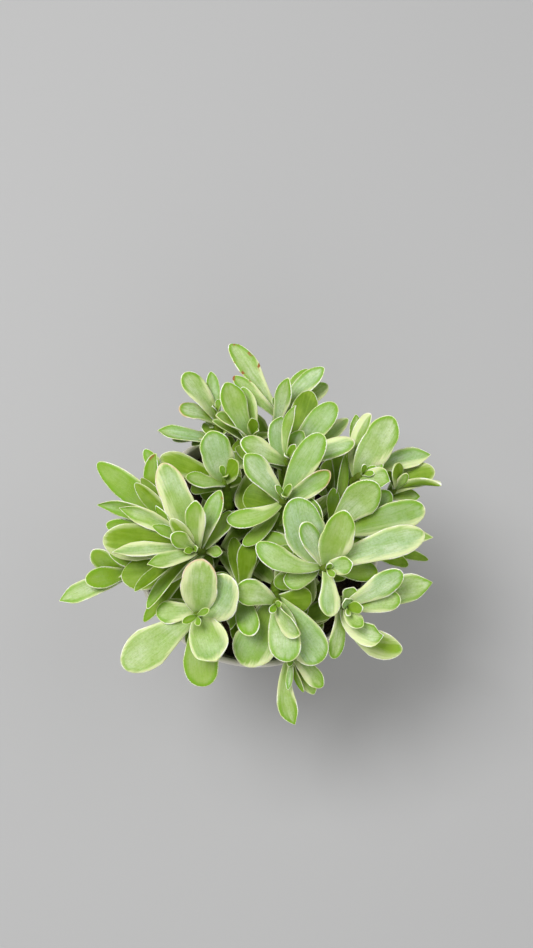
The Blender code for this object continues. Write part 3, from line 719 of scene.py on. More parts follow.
# speckle: tiny raised dots, and the grain between them
speckle, spot, given, made = newEffect(
    "speckle",
    (("Place", "Vector", None), ("Size", "Float", 900.0), ("Spread", "Float", 0.35)),
    ("Dots", "Grain"),
)
cells = spot.fed(spot.node("TexVoronoi", feature="F1"), {"Vector": given["Place"], "Scale": given["Size"]})
spot.feed(spot.ramp(cells["Distance"], given["Spread"], 0.0), made["Dots"])
spot.feed(spot.noise(given["Place"], given["Size"], 4.0, 0.5), made["Grain"])


leafFinish = {
    "bloom": srgb(177, 200, 134),  # grey wax over the upper face, whose pale colour also stands in for the wax's sheen as painted sheen
    "cool": srgb(172, 198, 158),  # bluer wax, on some leaves
    "frost": srgb(208, 221, 186),  # thicker wax in soft patches, bright enough to be partly painted highlight
    "green": srgb(127, 164, 45),
    "mottle": srgb(108, 148, 44),  # fine darker flecks through the wax
    "bright": srgb(116, 164, 22),  # fresh green inside the margin, towards the tip
    "warm": srgb(150, 178, 66),  # yellower leaves, and yellower parts of a leaf
    # shaded and dark: deep greens of leaves that are darker of their own, also used as painted shade where other
    # leaves cover the sky
    "shaded": srgb(118, 152, 8),
    "dark": srgb(80, 112, 6),
    "under": srgb(130, 168, 10),
    "cream": srgb(232, 236, 186),
    "rim": srgb(252, 253, 236),
    "paleRim": srgb(216, 226, 164),
    "blush": srgb(206, 150, 124),
    "scar": srgb(156, 102, 58),
    "rimLine": 0.32,  # millimetres
    "rimTeeth": 0.62,  # how unevenly the pale line ends, millimetres
    "lengthwise": 0.1,  # streaks are this much slower along the leaf than across it
    "creamDraw": 1.9,  # the cream's faint veil reaches this much further in
    "bandWidth": (0.8, 3.4),  # of the fresh green band, and how much a streak adds to it
    "scarFrom": 0.68,
    # scale to the millimetre, detail and roughness of each pattern, the streaks' drawn out lengthwise
    "streaks": ((0.75, 3.0, 0.55), (2.6, 3.0, 0.6)),
    "uneven": (0.16, 2.0, 0.5),
    "fine": (1.15, 4.0, 0.7),
    "teeth": (1.7, 2.0, 0.6),
    "warmth": (0.022, 2.0, 0.5),  # about one value for a leaf, another for the next
    # the most that each coat covers
    "cover": {
        "cool": 0.85, "thinWax": 0.35, "waxLoss": 0.75, "frost": 0.6, "fineStreak": 0.28, "streak": 0.3,
        "midline": 0.28, "dots": 0.14, "mottle": 0.3, "fleck": 0.14, "warm": 0.42, "band": 0.85, "veil": 0.3,
        "cream": 0.72, "creamBelow": 0.55, "shaded": 0.8, "dark": 0.75, "creamKept": 0.4, "foot": 0.8,
        "footCream": 0.28, "rim": 0.95, "scar": 0.85,
    },
    "roughness": 0.4,
    "relief": 0.0002,
}


def mixLeafSkin():
    cover = leafFinish["cover"]
    skin = Finish(
        "leafSkin",
        leafFinish,
        Subsurface_Weight=0.2,
        Subsurface_Radius=(0.6, 1.0, 0.25),
        Subsurface_Scale=0.0012,
        Specular_IOR_Level=0.14,
    )
    mix, ramp, coat, times, plus, minus = skin.mix, skin.ramp, skin.coat, skin.times, skin.plus, skin.minus
    along, margin, upper = skin.attribute("leafPlace")
    # tone is the wax's thinness and depth the deep green; both are partly painted shade from how much sky other
    # leaves cover
    tone, depth, across = skin.attribute("leafWaxAndShade")
    creamReach, blush, scars = skin.attribute("leafMarks")
    flat = skin.node("UVMap", uv_map="leafMap").outputs["UV"]  # in millimetres
    drawn = skin.fed(skin.node("Mapping"), {"Vector": flat, "Scale": (1.0, leafFinish["lengthwise"], 1.0)})[0]
    streak, fineStreak = [skin.noise(drawn, *pattern) for pattern in leafFinish["streaks"]]
    uneven, mottle, teeth, warmth = [
        skin.noise(flat, *leafFinish[pattern]) for pattern in ("uneven", "fine", "teeth", "warmth")
    ]
    patch = skin.effect(blotches, Place=flat, Size=0.13, Low=0.34, High=0.68)["Mask"]
    frost = skin.effect(blotches, Place=flat, Size=0.085, Low=0.44, High=0.66)["Mask"]
    dots = skin.effect(speckle, Place=flat, Size=1.35, Spread=0.42)

    # upper face: grey wax over green, thinner here and there, with frosted patches and streaks
    # tone is partly painted light: open leaves keep more wax and are painted paler
    thinWax = skin.maths("ADD", times(patch, cover["thinWax"]), times(tone, cover["waxLoss"]), clamp=True)
    bloom = mix(ramp(warmth, 0.52, 0.4, 0.0, cover["cool"]), leafFinish["bloom"], leafFinish["cool"])
    skin.start(thinWax, bloom, leafFinish["green"])
    # the frost patches are thicker wax and partly painted highlight, strongest on the open leaves that are painted
    # paler
    frost = times(frost, ramp(margin, 0.8, 3.0))
    coat(times(frost, ramp(tone, 0.8, 0.1, 0.15, cover["frost"])), "frost")
    coat(ramp(fineStreak, 0.44, 0.64, 0.0, cover["fineStreak"]), "green")
    coat(ramp(streak, 0.5, 0.66, 0.0, cover["streak"]), "bright")

    # a faint greener line down the middle, dots, and flecks both dark and pale
    midline = ramp(skin.maths("ABSOLUTE", across), 0.14, 0.0)
    coat(times(midline, ramp(along, 0.05, 0.8, cover["midline"], 0.1)), "bright")
    coat(times(dots["Dots"], cover["dots"]), "bloom")
    coat(ramp(mottle, 0.5, 0.66, 0.0, cover["mottle"]), "mottle")
    coat(times(ramp(mottle, 0.48, 0.36), ramp(tone, 0.7, 0.0, 0.0, cover["fleck"])), "frost")
    warmShare = ramp(plus(warmth, times(patch, 0.08)), 0.48, 0.68, 0.0, cover["warm"])
    coat(times(warmShare, ramp(tone, 0.0, 0.3, 0.25, 1.0)), "warm")

    # fresh green band just inside the margin, strongest towards the tip
    plain, streaky = leafFinish["bandWidth"]
    band = plus(plain, times(streak, streaky))
    coat(times(ramp(margin, band, times(band, 0.25)), ramp(along, 0.25, 0.85, 0.15, cover["band"])), "bright")

    # soft cream band along the sides, drawn out lengthwise
    reach = times(creamReach, ramp(streak, 0.3, 0.7, 0.6, 1.4))
    cream = times(ramp(minus(margin, reach), 1.0, -0.9), ramp(creamReach, 0.0, 0.5))
    veil = ramp(minus(margin, times(reach, leafFinish["creamDraw"])), 0.5, -1.2, 0.0, cover["veil"])
    coat(times(veil, ramp(creamReach, 0.3, 1.0)), "cream")
    coat(times(cream, cover["cream"]), "cream")

    # under face: greener, less wax
    below = mix(patch, leafFinish["under"], leafFinish["green"])
    below = mix(times(cream, cover["creamBelow"]), below, leafFinish["cream"])
    skin.start(ramp(upper, -0.35, 0.15), below, skin.face)

    # old leaves and leaves with a deeper look of their own are deep green; the same coats paint shade where other
    # leaves cover the sky and low in the plant, with what is left of their wax and cream
    coat(ramp(depth, 0.05, 0.7, 0.0, cover["shaded"]), "shaded")
    coat(ramp(depth, 0.5, 1.0, 0.0, cover["dark"]), "dark")
    waxLeft = plus(ramp(uneven, 0.42, 0.62, 0.0, 0.3), ramp(streak, 0.42, 0.66, 0.0, 0.25))
    coat(times(waxLeft, ramp(depth, 0.1, 0.5)), "warm")
    coat(times(cream, ramp(depth, 0.1, 0.6, 0.0, cover["creamKept"])), "cream")
    # each leaf's foot is coated fresh green with a little cream: partly the base's own colour, partly painted shade
    # where the leaves crowd round the stem
    foot = times(ramp(along, 0.0, 0.4, cover["foot"], 0.0), ramp(depth, 0.9, 0.3, 0.3, 1.0))
    skin.start(foot, skin.face, mix(cover["footCream"], leafFinish["bright"], leafFinish["cream"]))

    # pale toothed line at the very edge, reddish at the tip on some leaves
    line = plus(leafFinish["rimLine"] - 0.34, times(teeth, leafFinish["rimTeeth"]))
    rim = ramp(margin, plus(line, 0.16), minus(line, 0.1))
    rimTone = mix(ramp(uneven, 0.42, 0.6), leafFinish["paleRim"], leafFinish["rim"])
    # the pale line is painted dimmer where depth is high, which includes the painted shade
    skin.start(times(rim, ramp(depth, 0.0, 1.0, cover["rim"], 0.6)), skin.face, rimTone)
    blushed = times(times(blush, ramp(along, 0.5, 0.95, 0.1, 1.0)), ramp(margin, 1.1, 0.1))
    coat(blushed, "blush")

    # brown corky scars near the edge
    scarFrom = minus(leafFinish["scarFrom"], times(scars, 0.08))
    scarPatch = skin.effect(blotches, Place=flat, Size=0.24, Low=scarFrom, High=plus(scarFrom, 0.08))["Mask"]
    scarPlace = times(ramp(margin, 1.9, 0.7), ramp(along, 0.38, 0.62))
    scar = times(times(scars, scarPlace), scarPatch)
    coat(times(scar, cover["scar"]), "scar")

    rough = ramp(dots["Grain"], 0.3, 0.7, leafFinish["roughness"] - 0.06, leafFinish["roughness"] + 0.1)
    relief = plus(plus(times(dots["Dots"], 0.35), times(fineStreak, 0.8)), times(mottle, 0.8))
    return skin.finish(plus(rough, times(scar, 0.25)), relief, leafFinish["relief"], 0.6)


stemFinish = {
    "young": srgb(118, 158, 36),
    "old": srgb(120, 104, 54),
    "dark": srgb(70, 64, 26),
    "roughness": (0.5, 0.74),
    "relief": 0.0003,
}


def mixStemBark():
    bark = Finish("stemBark", stemFinish, Subsurface_Weight=0.06, Subsurface_Scale=0.001, Specular_IOR_Level=0.2)
    ramp, coat, times, plus = bark.ramp, bark.coat, bark.times, bark.plus
    along, ring, _ = bark.attribute("leafPlace")
    flat = bark.node("UVMap", uv_map="leafMap").outputs["UV"]
    patch = bark.effect(blotches, Place=flat, Size=0.45, Low=0.35, High=0.65)["Mask"]
    dots = bark.effect(speckle, Place=flat, Size=1.6, Spread=0.4)
    age = ramp(plus(along, times(patch, 0.18)), 0.35, 0.85, 1.0, 0.0)
    bark.start(age, stemFinish["young"], stemFinish["old"])
    coat(times(patch, 0.35), "dark")
    coat(times(ring, 0.55), "dark")
    rough = ramp(dots["Grain"], 0.3, 0.7, *stemFinish["roughness"])
    return bark.finish(rough, plus(dots["Grain"], times(dots["Dots"], 0.4)), stemFinish["relief"], 0.6)


glazeFinish = {
    "white": srgb(238, 234, 224),
    # warm beige: glaze clouds of its own, and the painted shade on the rim's top
    "warm": srgb(222, 210, 186),
    "speck": srgb(150, 134, 108),
    "roughness": (0.22, 0.26),
    "dust": (0.0845, 0.0852),  # painted shade: the rim's flat top is painted warm beige as if shaded by the leaves, between these heights
    "relief": 0.0004,
}


def mixWhiteGlaze():
    glaze = Finish("whiteGlaze", glazeFinish, Coat_Weight=0.35, Coat_Roughness=0.08, Specular_IOR_Level=0.5)
    ramp, coat, times = glaze.ramp, glaze.coat, glaze.times
    at = glaze.node("TexCoord").outputs["Object"]
    clouds = glaze.effect(blotches, Place=at, Size=38.0, Low=0.2, High=0.8)["Mask"]
    dots = glaze.effect(speckle, Place=at, Size=150.0, Spread=0.07)["Dots"]
    glaze.start(times(clouds, 0.15), glazeFinish["white"], glazeFinish["warm"])
    # painted shade on the rim's flat top, in the warm colour
    coat(ramp(glaze.split(at)[2], *glazeFinish["dust"], 0.0, 0.4), "warm")
    coat(times(dots, 0.35), "speck")
    rough = ramp(clouds, 0.0, 1.0, *glazeFinish["roughness"])
    swell = glaze.noise(at, 16.0, 0.0, 0.4)  # slow unevenness of a hand-dipped glaze
    return glaze.finish(rough, swell, glazeFinish["relief"], 0.4)


soilFinish = {
    "damp": srgb(44, 34, 26),
    "dry": srgb(96, 76, 56),
    "bark": srgb(120, 86, 54),
    "roughness": (0.75, 0.98),
    "relief": 0.0006,
}


def mixDampSoil():
    soil = Finish("dampSoil", soilFinish, Specular_IOR_Level=0.25)
    coat, times = soil.coat, soil.times
    at = soil.node("TexCoord").outputs["Object"]
    clouds = soil.effect(blotches, Place=at, Size=160.0, Low=0.35, High=0.7)["Mask"]
    crumbs = soil.effect(blotches, Place=at, Size=900.0, Low=0.4, High=0.62)["Mask"]
    fibres = soil.effect(speckle, Place=at, Size=520.0, Spread=0.22)
    soil.start(times(clouds, 0.45), soilFinish["damp"], soilFinish["dry"])
    coat(times(crumbs, 0.35), "damp")
    coat(times(fibres["Dots"], 0.5), "bark")
    rough = soil.ramp(crumbs, 0.0, 1.0, *soilFinish["roughness"])
    return soil.finish(rough, soil.plus(crumbs, fibres["Grain"]), soilFinish["relief"], 0.9)


leafSkin, stemBark, whiteGlaze, dampSoil = mixLeafSkin(), mixStemBark(), mixWhiteGlaze(), mixDampSoil()
print("finishes mixed")


def startTurning(name, sides, radius, height):
    # a disc whose edge is then drawn out ring by ring
    bpy.ops.mesh.primitive_circle_add(
        vertices=sides, radius=radius * mm, location=(0, 0, height * mm), fill_type="NGON"
    )
    piece = bpy.context.object
    piece.name = name
    bpy.ops.object.mode_set(mode="EDIT")
    bpy.ops.mesh.select_mode(type="EDGE")
    return piece


def turnSection(start, section):
    # both are radius and height, and each ring is drawn out from the last
    radius, height = start
    for nextRadius, nextHeight in section:
        scale = nextRadius / radius
        growRing((0, 0, (nextHeight - height) * mm), (scale, scale, 1), (0, 0, nextHeight * mm))
        radius, height = nextRadius, nextHeight


# the pot, to the CAD's sizes but with a properly rounded rim
potSettings = {
    "segments": 112,
    "bodyRings": 7,
    "footRound": (1.3, 0.9),  # the flat base ends this far in, and the wall starts this far up
    "floor": 3.5,
    "inside": (75.0, 6.0),  # heights where the inner wall starts and ends
    "drainHoles": 4,
    "drainRadius": 4.0,
    "drainOut": 19.0,
    "drainSides": 32,
    "drainDepth": 8.0,
    "drainMiddle": 1.7,
    "softEdge": 0.35,
    # radius and height round the foot, from the collar up over the rim and down inside it, and to the floor
    "foot": ((35.2, 0.0), (35.65, 0.12), (35.95, 0.45)),
    "rim": (
        (48.75, 76.05), (49.15, 76.3), (49.45, 76.75), (49.55, 77.4), (49.72, 80.0), (49.9, 82.8),
        (49.97, 83.7), (49.78, 84.4), (49.3, 84.85), (48.7, 84.98), (48.1, 84.85), (47.62, 84.4),
        (47.42, 83.7), (47.2, 82.0), (46.75, 78.5), (46.25, 75.4),
    ),
    "innerFoot": ((34.2, 4.4), (33.2, 3.75)),
    "innerFloor": 31.5,
}


def wallHeights(low, high):
    rings = potSettings["bodyRings"]
    return [low + (high - low) * ring / rings for ring in range(1, rings + 1)]


def buildPot():
    inset, rise = potSettings["footRound"]
    disc = layout["footRadius"] - inset
    pot = startTurning("glazedPot", potSettings["segments"], disc, 0.0)
    collar = layout["potHeight"] - layout["rimDepth"]
    section = [*potSettings["foot"], (wallRadius(rise), rise)]
    section += [(wallRadius(height), height) for height in wallHeights(rise, collar)]
    section += potSettings["rim"]
    section += [(wallRadius(height) - layout["potWall"], height) for height in wallHeights(*potSettings["inside"])]
    section += [*potSettings["innerFoot"], (potSettings["innerFloor"], potSettings["floor"])]
    turnSection((disc, 0.0), section)
    bpy.ops.mesh.edge_face_add()
    bpy.ops.object.mode_set(mode="OBJECT")
    closeUp(pot, 50)

    drills = []
    for hole in range(potSettings["drainHoles"]):
        turn = 2 * math.pi * (hole + 0.5) / potSettings["drainHoles"]
        out = potSettings["drainOut"] * mm
        bpy.ops.mesh.primitive_cylinder_add(
            vertices=potSettings["drainSides"],
            radius=potSettings["drainRadius"] * mm,
            depth=potSettings["drainDepth"] * mm,
            location=(out * math.cos(turn), out * math.sin(turn), potSettings["drainMiddle"] * mm),
        )
        drills.append(bpy.context.object)
    joinInto(drills[0], drills[1:])
    cut = pot.modifiers.new("drainHoles", "BOOLEAN")
    cut.operation = "DIFFERENCE"
    cut.solver = "EXACT"
    cut.object = drills[0]
    applyModifiers(pot)
    bpy.data.objects.remove(drills[0])
    soften = pot.modifiers.new("softEdges", "BEVEL")
    soften.width = potSettings["softEdge"] * mm
    soften.segments = 2
    soften.limit_method = "ANGLE"
    soften.angle_limit = math.radians(60)
    applyModifiers(pot)
    closeUp(pot, 50)
    putOn(pot, whiteGlaze)
    return pot


pot = buildPot()
print("pot turned")


# the soil, flat on top, with loose crumbs and bark chips at the heights of a low mound
soilSettings = {
    "segments": 96,
    "rings": 34,
    "footRound": (1.6, 1.8),
    "edgeGap": 0.1,
    "sideHeights": (28.0, 52.0),
    "shoulder": (2.2, 1.0),  # the last two rings of the side lie this far under the soil's level
    "lump": 0.9,
    "lumps": ((11.0, 0.5), (4.3, 0.32), (1.7, 0.18)),  # size and share of each
    "crumbShapes": 4,
    "crumbs": 900,
    "crumbSizes": (0.35, 1.0),
    "crumbForm": (1.0, 0.9, 0.8),
    "chips": 90,
    "chipSizes": (0.9, 2.2),
    "chipForm": (1.9, 0.8, 0.45),
    "fromEdge": 1.6,
    "sunk": 0.18,  # a crumb's middle is this share of its size over the ground
}


def soilTop(x, y, away):
    # height of the mound, in millimetres, with three sizes of lump on it
    bumps = 0.0
    for size, share in soilSettings["lumps"]:
        ripple = math.sin(x / size * 2.1 + 1.3 * math.sin(y / size * 1.7))
        bumps += share * ripple * math.cos(y / size * 2.3 + math.sin(x / size))
    mound = layout["soilMound"] * (1 - away * away)
    return layout["soilLevel"] - 0.6 + mound * 0.9 + soilSettings["lump"] * bumps * 0.5 - 0.5 * away**6


def crumbShapes(chance):
    for _ in range(soilSettings["crumbShapes"]):
        bpy.ops.mesh.primitive_ico_sphere_add(subdivisions=1, radius=0.5, location=(0, 0, 0))
        crumb = bpy.context.object
        shape = pointsOf(crumb.data)
        shape *= np.array([[chance.uniform(0.7, 1.25) for _ in range(3)] for _ in range(len(shape))])
        setPoints(crumb.data, shape)
        putOn(crumb, dampSoil)
        yield crumb


def buildSoil():
    chance = random.Random(seed)
    floor, level = potSettings["floor"] + layout["gap"], layout["soilLevel"]
    inside = layout["potWall"] + layout["gap"]
    inset, rise = soilSettings["footRound"]
    disc = wallRadius(floor) - inside - inset
    soil = startTurning("pottingSoil", soilSettings["segments"], disc, floor)
    shoulder = [level - drop for drop in soilSettings["shoulder"]]
    heights = (floor + rise, *soilSettings["sideHeights"], *shoulder)
    sides = [(wallRadius(height) - inside - soilSettings["edgeGap"], height) for height in heights]
    edge, height = sides[-1]
    rings = soilSettings["rings"]
    turnSection((disc, floor), sides + [(edge * (1 - ring / rings), height) for ring in range(1, rings)])
    bpy.ops.mesh.merge(type="CENTER")
    bpy.ops.object.mode_set(mode="OBJECT")
    closeUp(soil, 60)
    putOn(soil, dampSoil)

    crumbs, loose = list(crumbShapes(chance)), []
    for number in range(soilSettings["crumbs"] + soilSettings["chips"]):
        kind = "chip" if number >= soilSettings["crumbs"] else "crumb"
        low, high = soilSettings[kind + "Sizes"]
        size = low + (high - low) * chance.random() ** 2
        out, turn = math.sqrt(chance.random()) * (edge - soilSettings["fromEdge"]), chance.uniform(0, 2 * math.pi)
        x, y = out * math.cos(turn), out * math.sin(turn)
        piece = copied(crumbs[number % len(crumbs)], f"crumb{number}")
        spin = Matrix.Rotation(chance.uniform(0, 6.283), 3, "Z") @ Matrix.Rotation(chance.uniform(-0.5, 0.5), 3, "X")
        shape = pointsOf(piece.data) * size * np.array(soilSettings[kind + "Form"])
        shape = shape @ np.array(spin).T
        shape[:, :2] += (x, y)
        shape[:, 2] += soilTop(x, y, out / edge) + size * soilSettings["sunk"]
        setPoints(piece.data, shape * mm)
        loose.append(piece)
    joinInto(soil, loose)
    for crumb in crumbs:
        bpy.data.objects.remove(crumb)
    makeActive(soil)
    bpy.ops.object.shade_smooth_by_angle(angle=math.radians(60))
    return soil


soil = buildSoil()
print("soil filled in")


# one leaf is modelled flat, 1 long and 1 wide, then laid along every leaf's own line
leafSettings = {
    "sides": 20,
    "shares": (0.05, 0.12, 0.2, 0.29, 0.38, 0.47, 0.56, 0.64, 0.72, 0.79, 0.85, 0.9, 0.94, 0.97, 0.989, 0.998),
    "tableSteps": 400,
    "belly": 1.1,  # greatest thickness, as a share of the CAD leaf's
    "sink": 0.1,  # how far the blade's middle lies below its line
    "twist": 9.0,  # degrees from foot to tip
    "wave": 0.32,  # millimetres at the margin
    "lopsided": 0.07,
    "channel": 0.16,
    "channelWidth": 0.22,
    "point": (0.0, 0.5),  # how much the last of the blade draws in to its tip
    "spoon": (0.0, 0.3),  # how much the blade's lower half draws in
    "broadSpoon": -0.2,
    "tipRoundness": 2.5,  # a fuller end than the faceted solid's
    "bladeRise": (0.15, 0.35),  # the blade starts here along the leaf, and is full this much further on
    "pointRise": (0.78, 0.22),
    "tipFall": 0.12,
    "cupCurve": 1.8,
    "waves": 7.5,
    "twistAbout": 0.3,
    # rays from each leaf to the sky find how much other leaves cover it; that share is painted into the leaf's
    # colour as shade
    "skyRays": 18,
    "goldenTurn": 2.399963,
    "shadeReach": 32.0,
    "shadeLift": 1.6,
    "shadeShares": (0.1, 0.25, 0.4, 0.55, 0.7, 0.85, 0.97),
    "shadeAcross": 0.75,
    "shadeRise": (0.3, 0.6),
    "shadeDepth": 0.78,
    "sunk": (100.0, 24.0, 0.25),  # painted shade: leaves are painted deeper green below this height, over this much, by this much
    "openDepth": (0.0, 0.12),
    "lowDepth": (0.55, -0.15, 0.2),
    # how thin the wax is, least and most, on the stems that differ
    "waxLoss": {
        "west": (0.3, 1.0), "far_west": (0.4, 1.0), "middle": (0.2, 0.9), "far_north": (0.0, 0.4),
        "north": (0.05, 0.6), "north_east": (0.0, 0.4),
    },
    "plainWaxLoss": (0.0, 0.7),
    "cream": (0.2, 1.9),  # width of the cream margin, millimetres
    "creamEnd": (0.6, 1.15),
    "creamyEnd": 1.2,
    "oneSided": 0.45,  # share of leaves with little cream on one side, and how little
    "narrowSide": 0.25,
    "cups": {"wide": (0.5, 1.7), "narrow": (1.0, 2.6), "folded": (3.0, 3.8)},
    "pointedBy": 0.8,
    # thinness of the wax and depth of the green on leaves that have a look of their own
    "looks": {"lush": (1.0, 0.3), "mossy": (1.0, 0.68)},
    "youngLook": (1.0, 0.12),
    "darkDepth": 0.85,
    "blushBy": 0.55,
    "tingedBy": 0.4,
    "scarsBy": {"far_north": 1.5},
    # leaves that stand out in the plant, by stem and number in the plan
    "dark": {
        "north": (6, 9), "west": (19, 23), "south_west": (7,), "middle": (3,), "inner": (4,), "east": (10,),
        "east_low": (5,),
    },
    "mossy": {
        "north": (0,), "west": (10, 17, 18), "inner": (1, 3), "middle": (0, 1), "far_east": (0, 1, 4),
        "north_middle": (0,), "pit": (0, 1, 3), "south": (5,), "east_low": (7,),
    },
    "lush": {
        "far_west": (1, 2), "west": (1, 11, 21), "north_west": (6,), "south_east": (1, 3), "spill": (2,),
    },
    "waxy": {
        "east": (5, 2, 3, 0), "south_east": (5, 6, 2, 9), "north_east": (2,), "north": (1,),
        "far_north": (1, 2), "inner": (0,), "north_west": (4,), "far_west": (0,), "far_east": (3, 5),
        "south_west": (1, 4), "spill": (1, 3),
    },
    # width of the cream on the left and right of a leaf seen from its foot
    "creamy": {
        "north_east": {3: (3.4, 0.5)},
        "east": {5: (0.9, 1.7)},
        "far_east": {3: (0.9, 0.7)},
        "south": {3: (2.0, 0.6)},
        "south_west": {0: (1.9, 1.0), 4: (0.9, 0.9), 1: (0.5, 1.4), 5: (1.6, 0.9)},
        "inner": {1: (1.4, 1.1)},
        "west": {1: (0.8, 1.6), 10: (1.8, 1.1)},
    },
    "pointed": {
        "north_east": (4, 5), "west": (8, 9, 12, 13), "far_east": (3, 5), "south_east": (2, 4),
        "far_west": (0,), "east_low": (4,), "spill": (0,), "north_west": (4,), "north": (2, 3),
    },
    "broadFoot": {"north_east": (2,), "south_west": (0, 1), "east": (1, 3), "west": (3,), "inner": (0,)},
    "blush": {"south_west": (0,), "north_west": (1,), "middle": (6,)},
    "tinged": {"west": (3,)},
    "scars": {
        "west": (4, 16), "far_north": (1, 2), "middle": (4, 6), "east_low": (4,), "inner": (3,), "south": (5,),
    },
    "folded": {
        "north": (3, 5), "north_east": (3, 5), "north_west": (4,), "north_middle": (3, 4),
        "west": (8, 12, 13, 16, 19, 20), "middle": (6,), "far_east": (3,), "south_west": (5,), "south": (1,),
        "spill": (0,), "south_east": (2, 8), "east": (4,),
    },
}


def fineOutline(share):
    if share < layout["widestAt"]:
        return halfOutline(share)
    past = (share - layout["widestAt"]) / (1 - layout["widestAt"])
    return max(0.0, 1 - past ** leafSettings["tipRoundness"]) ** 0.5


tableShares = np.linspace(0, 1, leafSettings["tableSteps"] + 1)
halfTable = np.array([fineOutline(step / leafSettings["tableSteps"]) for step in range(len(tableShares))])


def buildLeafMaster():
    bpy.ops.mesh.primitive_circle_add(
        vertices=leafSettings["sides"],
        radius=1.0,
        location=(0, 0, 0),
        rotation=(0, math.pi / 2, 0),
        fill_type="NOTHING",
    )
    leaf = bpy.context.object
    leaf.name = "leafMaster"
    bpy.ops.object.transform_apply(location=True, rotation=True, scale=True)
    bpy.ops.object.mode_set(mode="EDIT")
    bpy.ops.mesh.select_mode(type="EDGE")
    bpy.ops.mesh.select_all(action="SELECT")
    wide, high, share = 0.5 * fineOutline(0.0), 0.5 * leafSettings["belly"], 0.0
    bpy.ops.transform.resize(value=(1, wide, high), center_override=(0, 0, 0))
    for nextShare in leafSettings["shares"]:
        nextWide = 0.5 * fineOutline(nextShare)
        nextHigh = 0.5 * leafSettings["belly"] * min(1.0, (nextWide / 0.5) * 1.5) ** 0.5
        growRing((nextShare - share, 0, 0), (1, nextWide / wide, nextHigh / high), (nextShare, 0, 0))
        wide, high, share = nextWide, nextHigh, nextShare
    bpy.ops.mesh.extrude_region_move(TRANSFORM_OT_translate={"value": (1 - share, 0, 0)})
    bpy.ops.mesh.merge(type="CENTER")
    # the foot is closed too
    bpy.ops.mesh.select_all(action="SELECT")
    bpy.ops.mesh.region_to_loop()
    bpy.ops.mesh.edge_face_add()
    bpy.ops.object.mode_set(mode="OBJECT")
    closeUp(leaf, 80)
    return leaf


def layAttributes(mesh, flat, spot, kind, marks):
    for name, values in (("leafPlace", spot), ("leafWaxAndShade", kind), ("leafMarks", marks)):
        attribute = mesh.attributes.new(name, "FLOAT_VECTOR", "POINT")
        rows = np.broadcast_to(values, (len(mesh.vertices), 3))
        attribute.data.foreach_set("vector", rows.astype(np.float32).ravel())
    corner = np.empty(len(mesh.loops), np.int32)
    mesh.loops.foreach_get("vertex_index", corner)
    while mesh.uv_layers:
        mesh.uv_layers.remove(mesh.uv_layers[0])
    layer = mesh.uv_layers.new(name="leafMap")
    layer.data.foreach_set("uv", flat[corner].astype(np.float32).ravel())


def curveFrames(controls, facing, shares):
    # points, sides and ups along a curve, one row for each share
    a, b, c, d = (np.array(point) for point in controls)
    t = np.asarray(shares)[:, None]
    r = 1 - t
    centre = r**3 * a + 3 * r * r * t * b + 3 * r * t * t * c + t**3 * d
    along = r * r * (b - a) + 2 * r * t * (c - b) + t * t * (d - c)
    along /= np.linalg.norm(along, axis=1)[:, None]
    side = np.cross(along, np.array(facing))
    side /= np.linalg.norm(side, axis=1)[:, None]
    return centre, side, np.cross(side, along)


def skyDirections():
    # a fixed fan of directions over the upper half of the sky, more of them overhead
    fan = []
    for number in range(leafSettings["skyRays"]):
        lift = math.sqrt(1 - (number + 0.5) / leafSettings["skyRays"] * 0.93)
        turn = number * leafSettings["goldenTurn"]
        level = math.sqrt(1 - lift * lift)
        fan.append(Vector((level * math.cos(turn), level * math.sin(turn), lift)))
    return fan


def shadeOver(leaf, canopy, fan):
    # how much of the sky other leaves cover, at a few places along and across this leaf, which is painted into the
    # leaf's colour as shade
    shares, far = leafSettings["shadeShares"], leafSettings["shadeAcross"]
    centre, side, up = curveFrames(leaf.controls, leaf.facing, shares)
    covered = np.zeros((len(shares), 3))
    for row, share in enumerate(shares):
        half = 0.5 * leaf.width * halfOutline(share)
        for column, across in enumerate((-far, 0.0, far)):
            spot = Vector(centre[row] + side[row] * across * half + up[row] * leafSettings["shadeLift"])
            hits = sum(canopy.ray_cast(spot, way, leafSettings["shadeReach"])[0] is not None for way in fan)
            covered[row, column] = hits / len(fan)
    return covered


def shadeAt(covered, share, across):
    row = np.interp(share, leafSettings["shadeShares"], np.arange(len(covered)))
    column = np.clip(across / leafSettings["shadeAcross"], -1, 1) + 1
    low, left = np.minimum(row.astype(int), len(covered) - 2), np.minimum(column.astype(int), 1)
    down, right = row - low, column - left
    first = covered[low, left] * (1 - right) + covered[low, left + 1] * right
    second = covered[low + 1, left] * (1 - right) + covered[low + 1, left + 1] * right
    return first * (1 - down) + second * down


def rising(value, start, length):
    # 0 up to the start, 1 from the end of the length on
    return np.clip((value - start) / length, 0, 1)


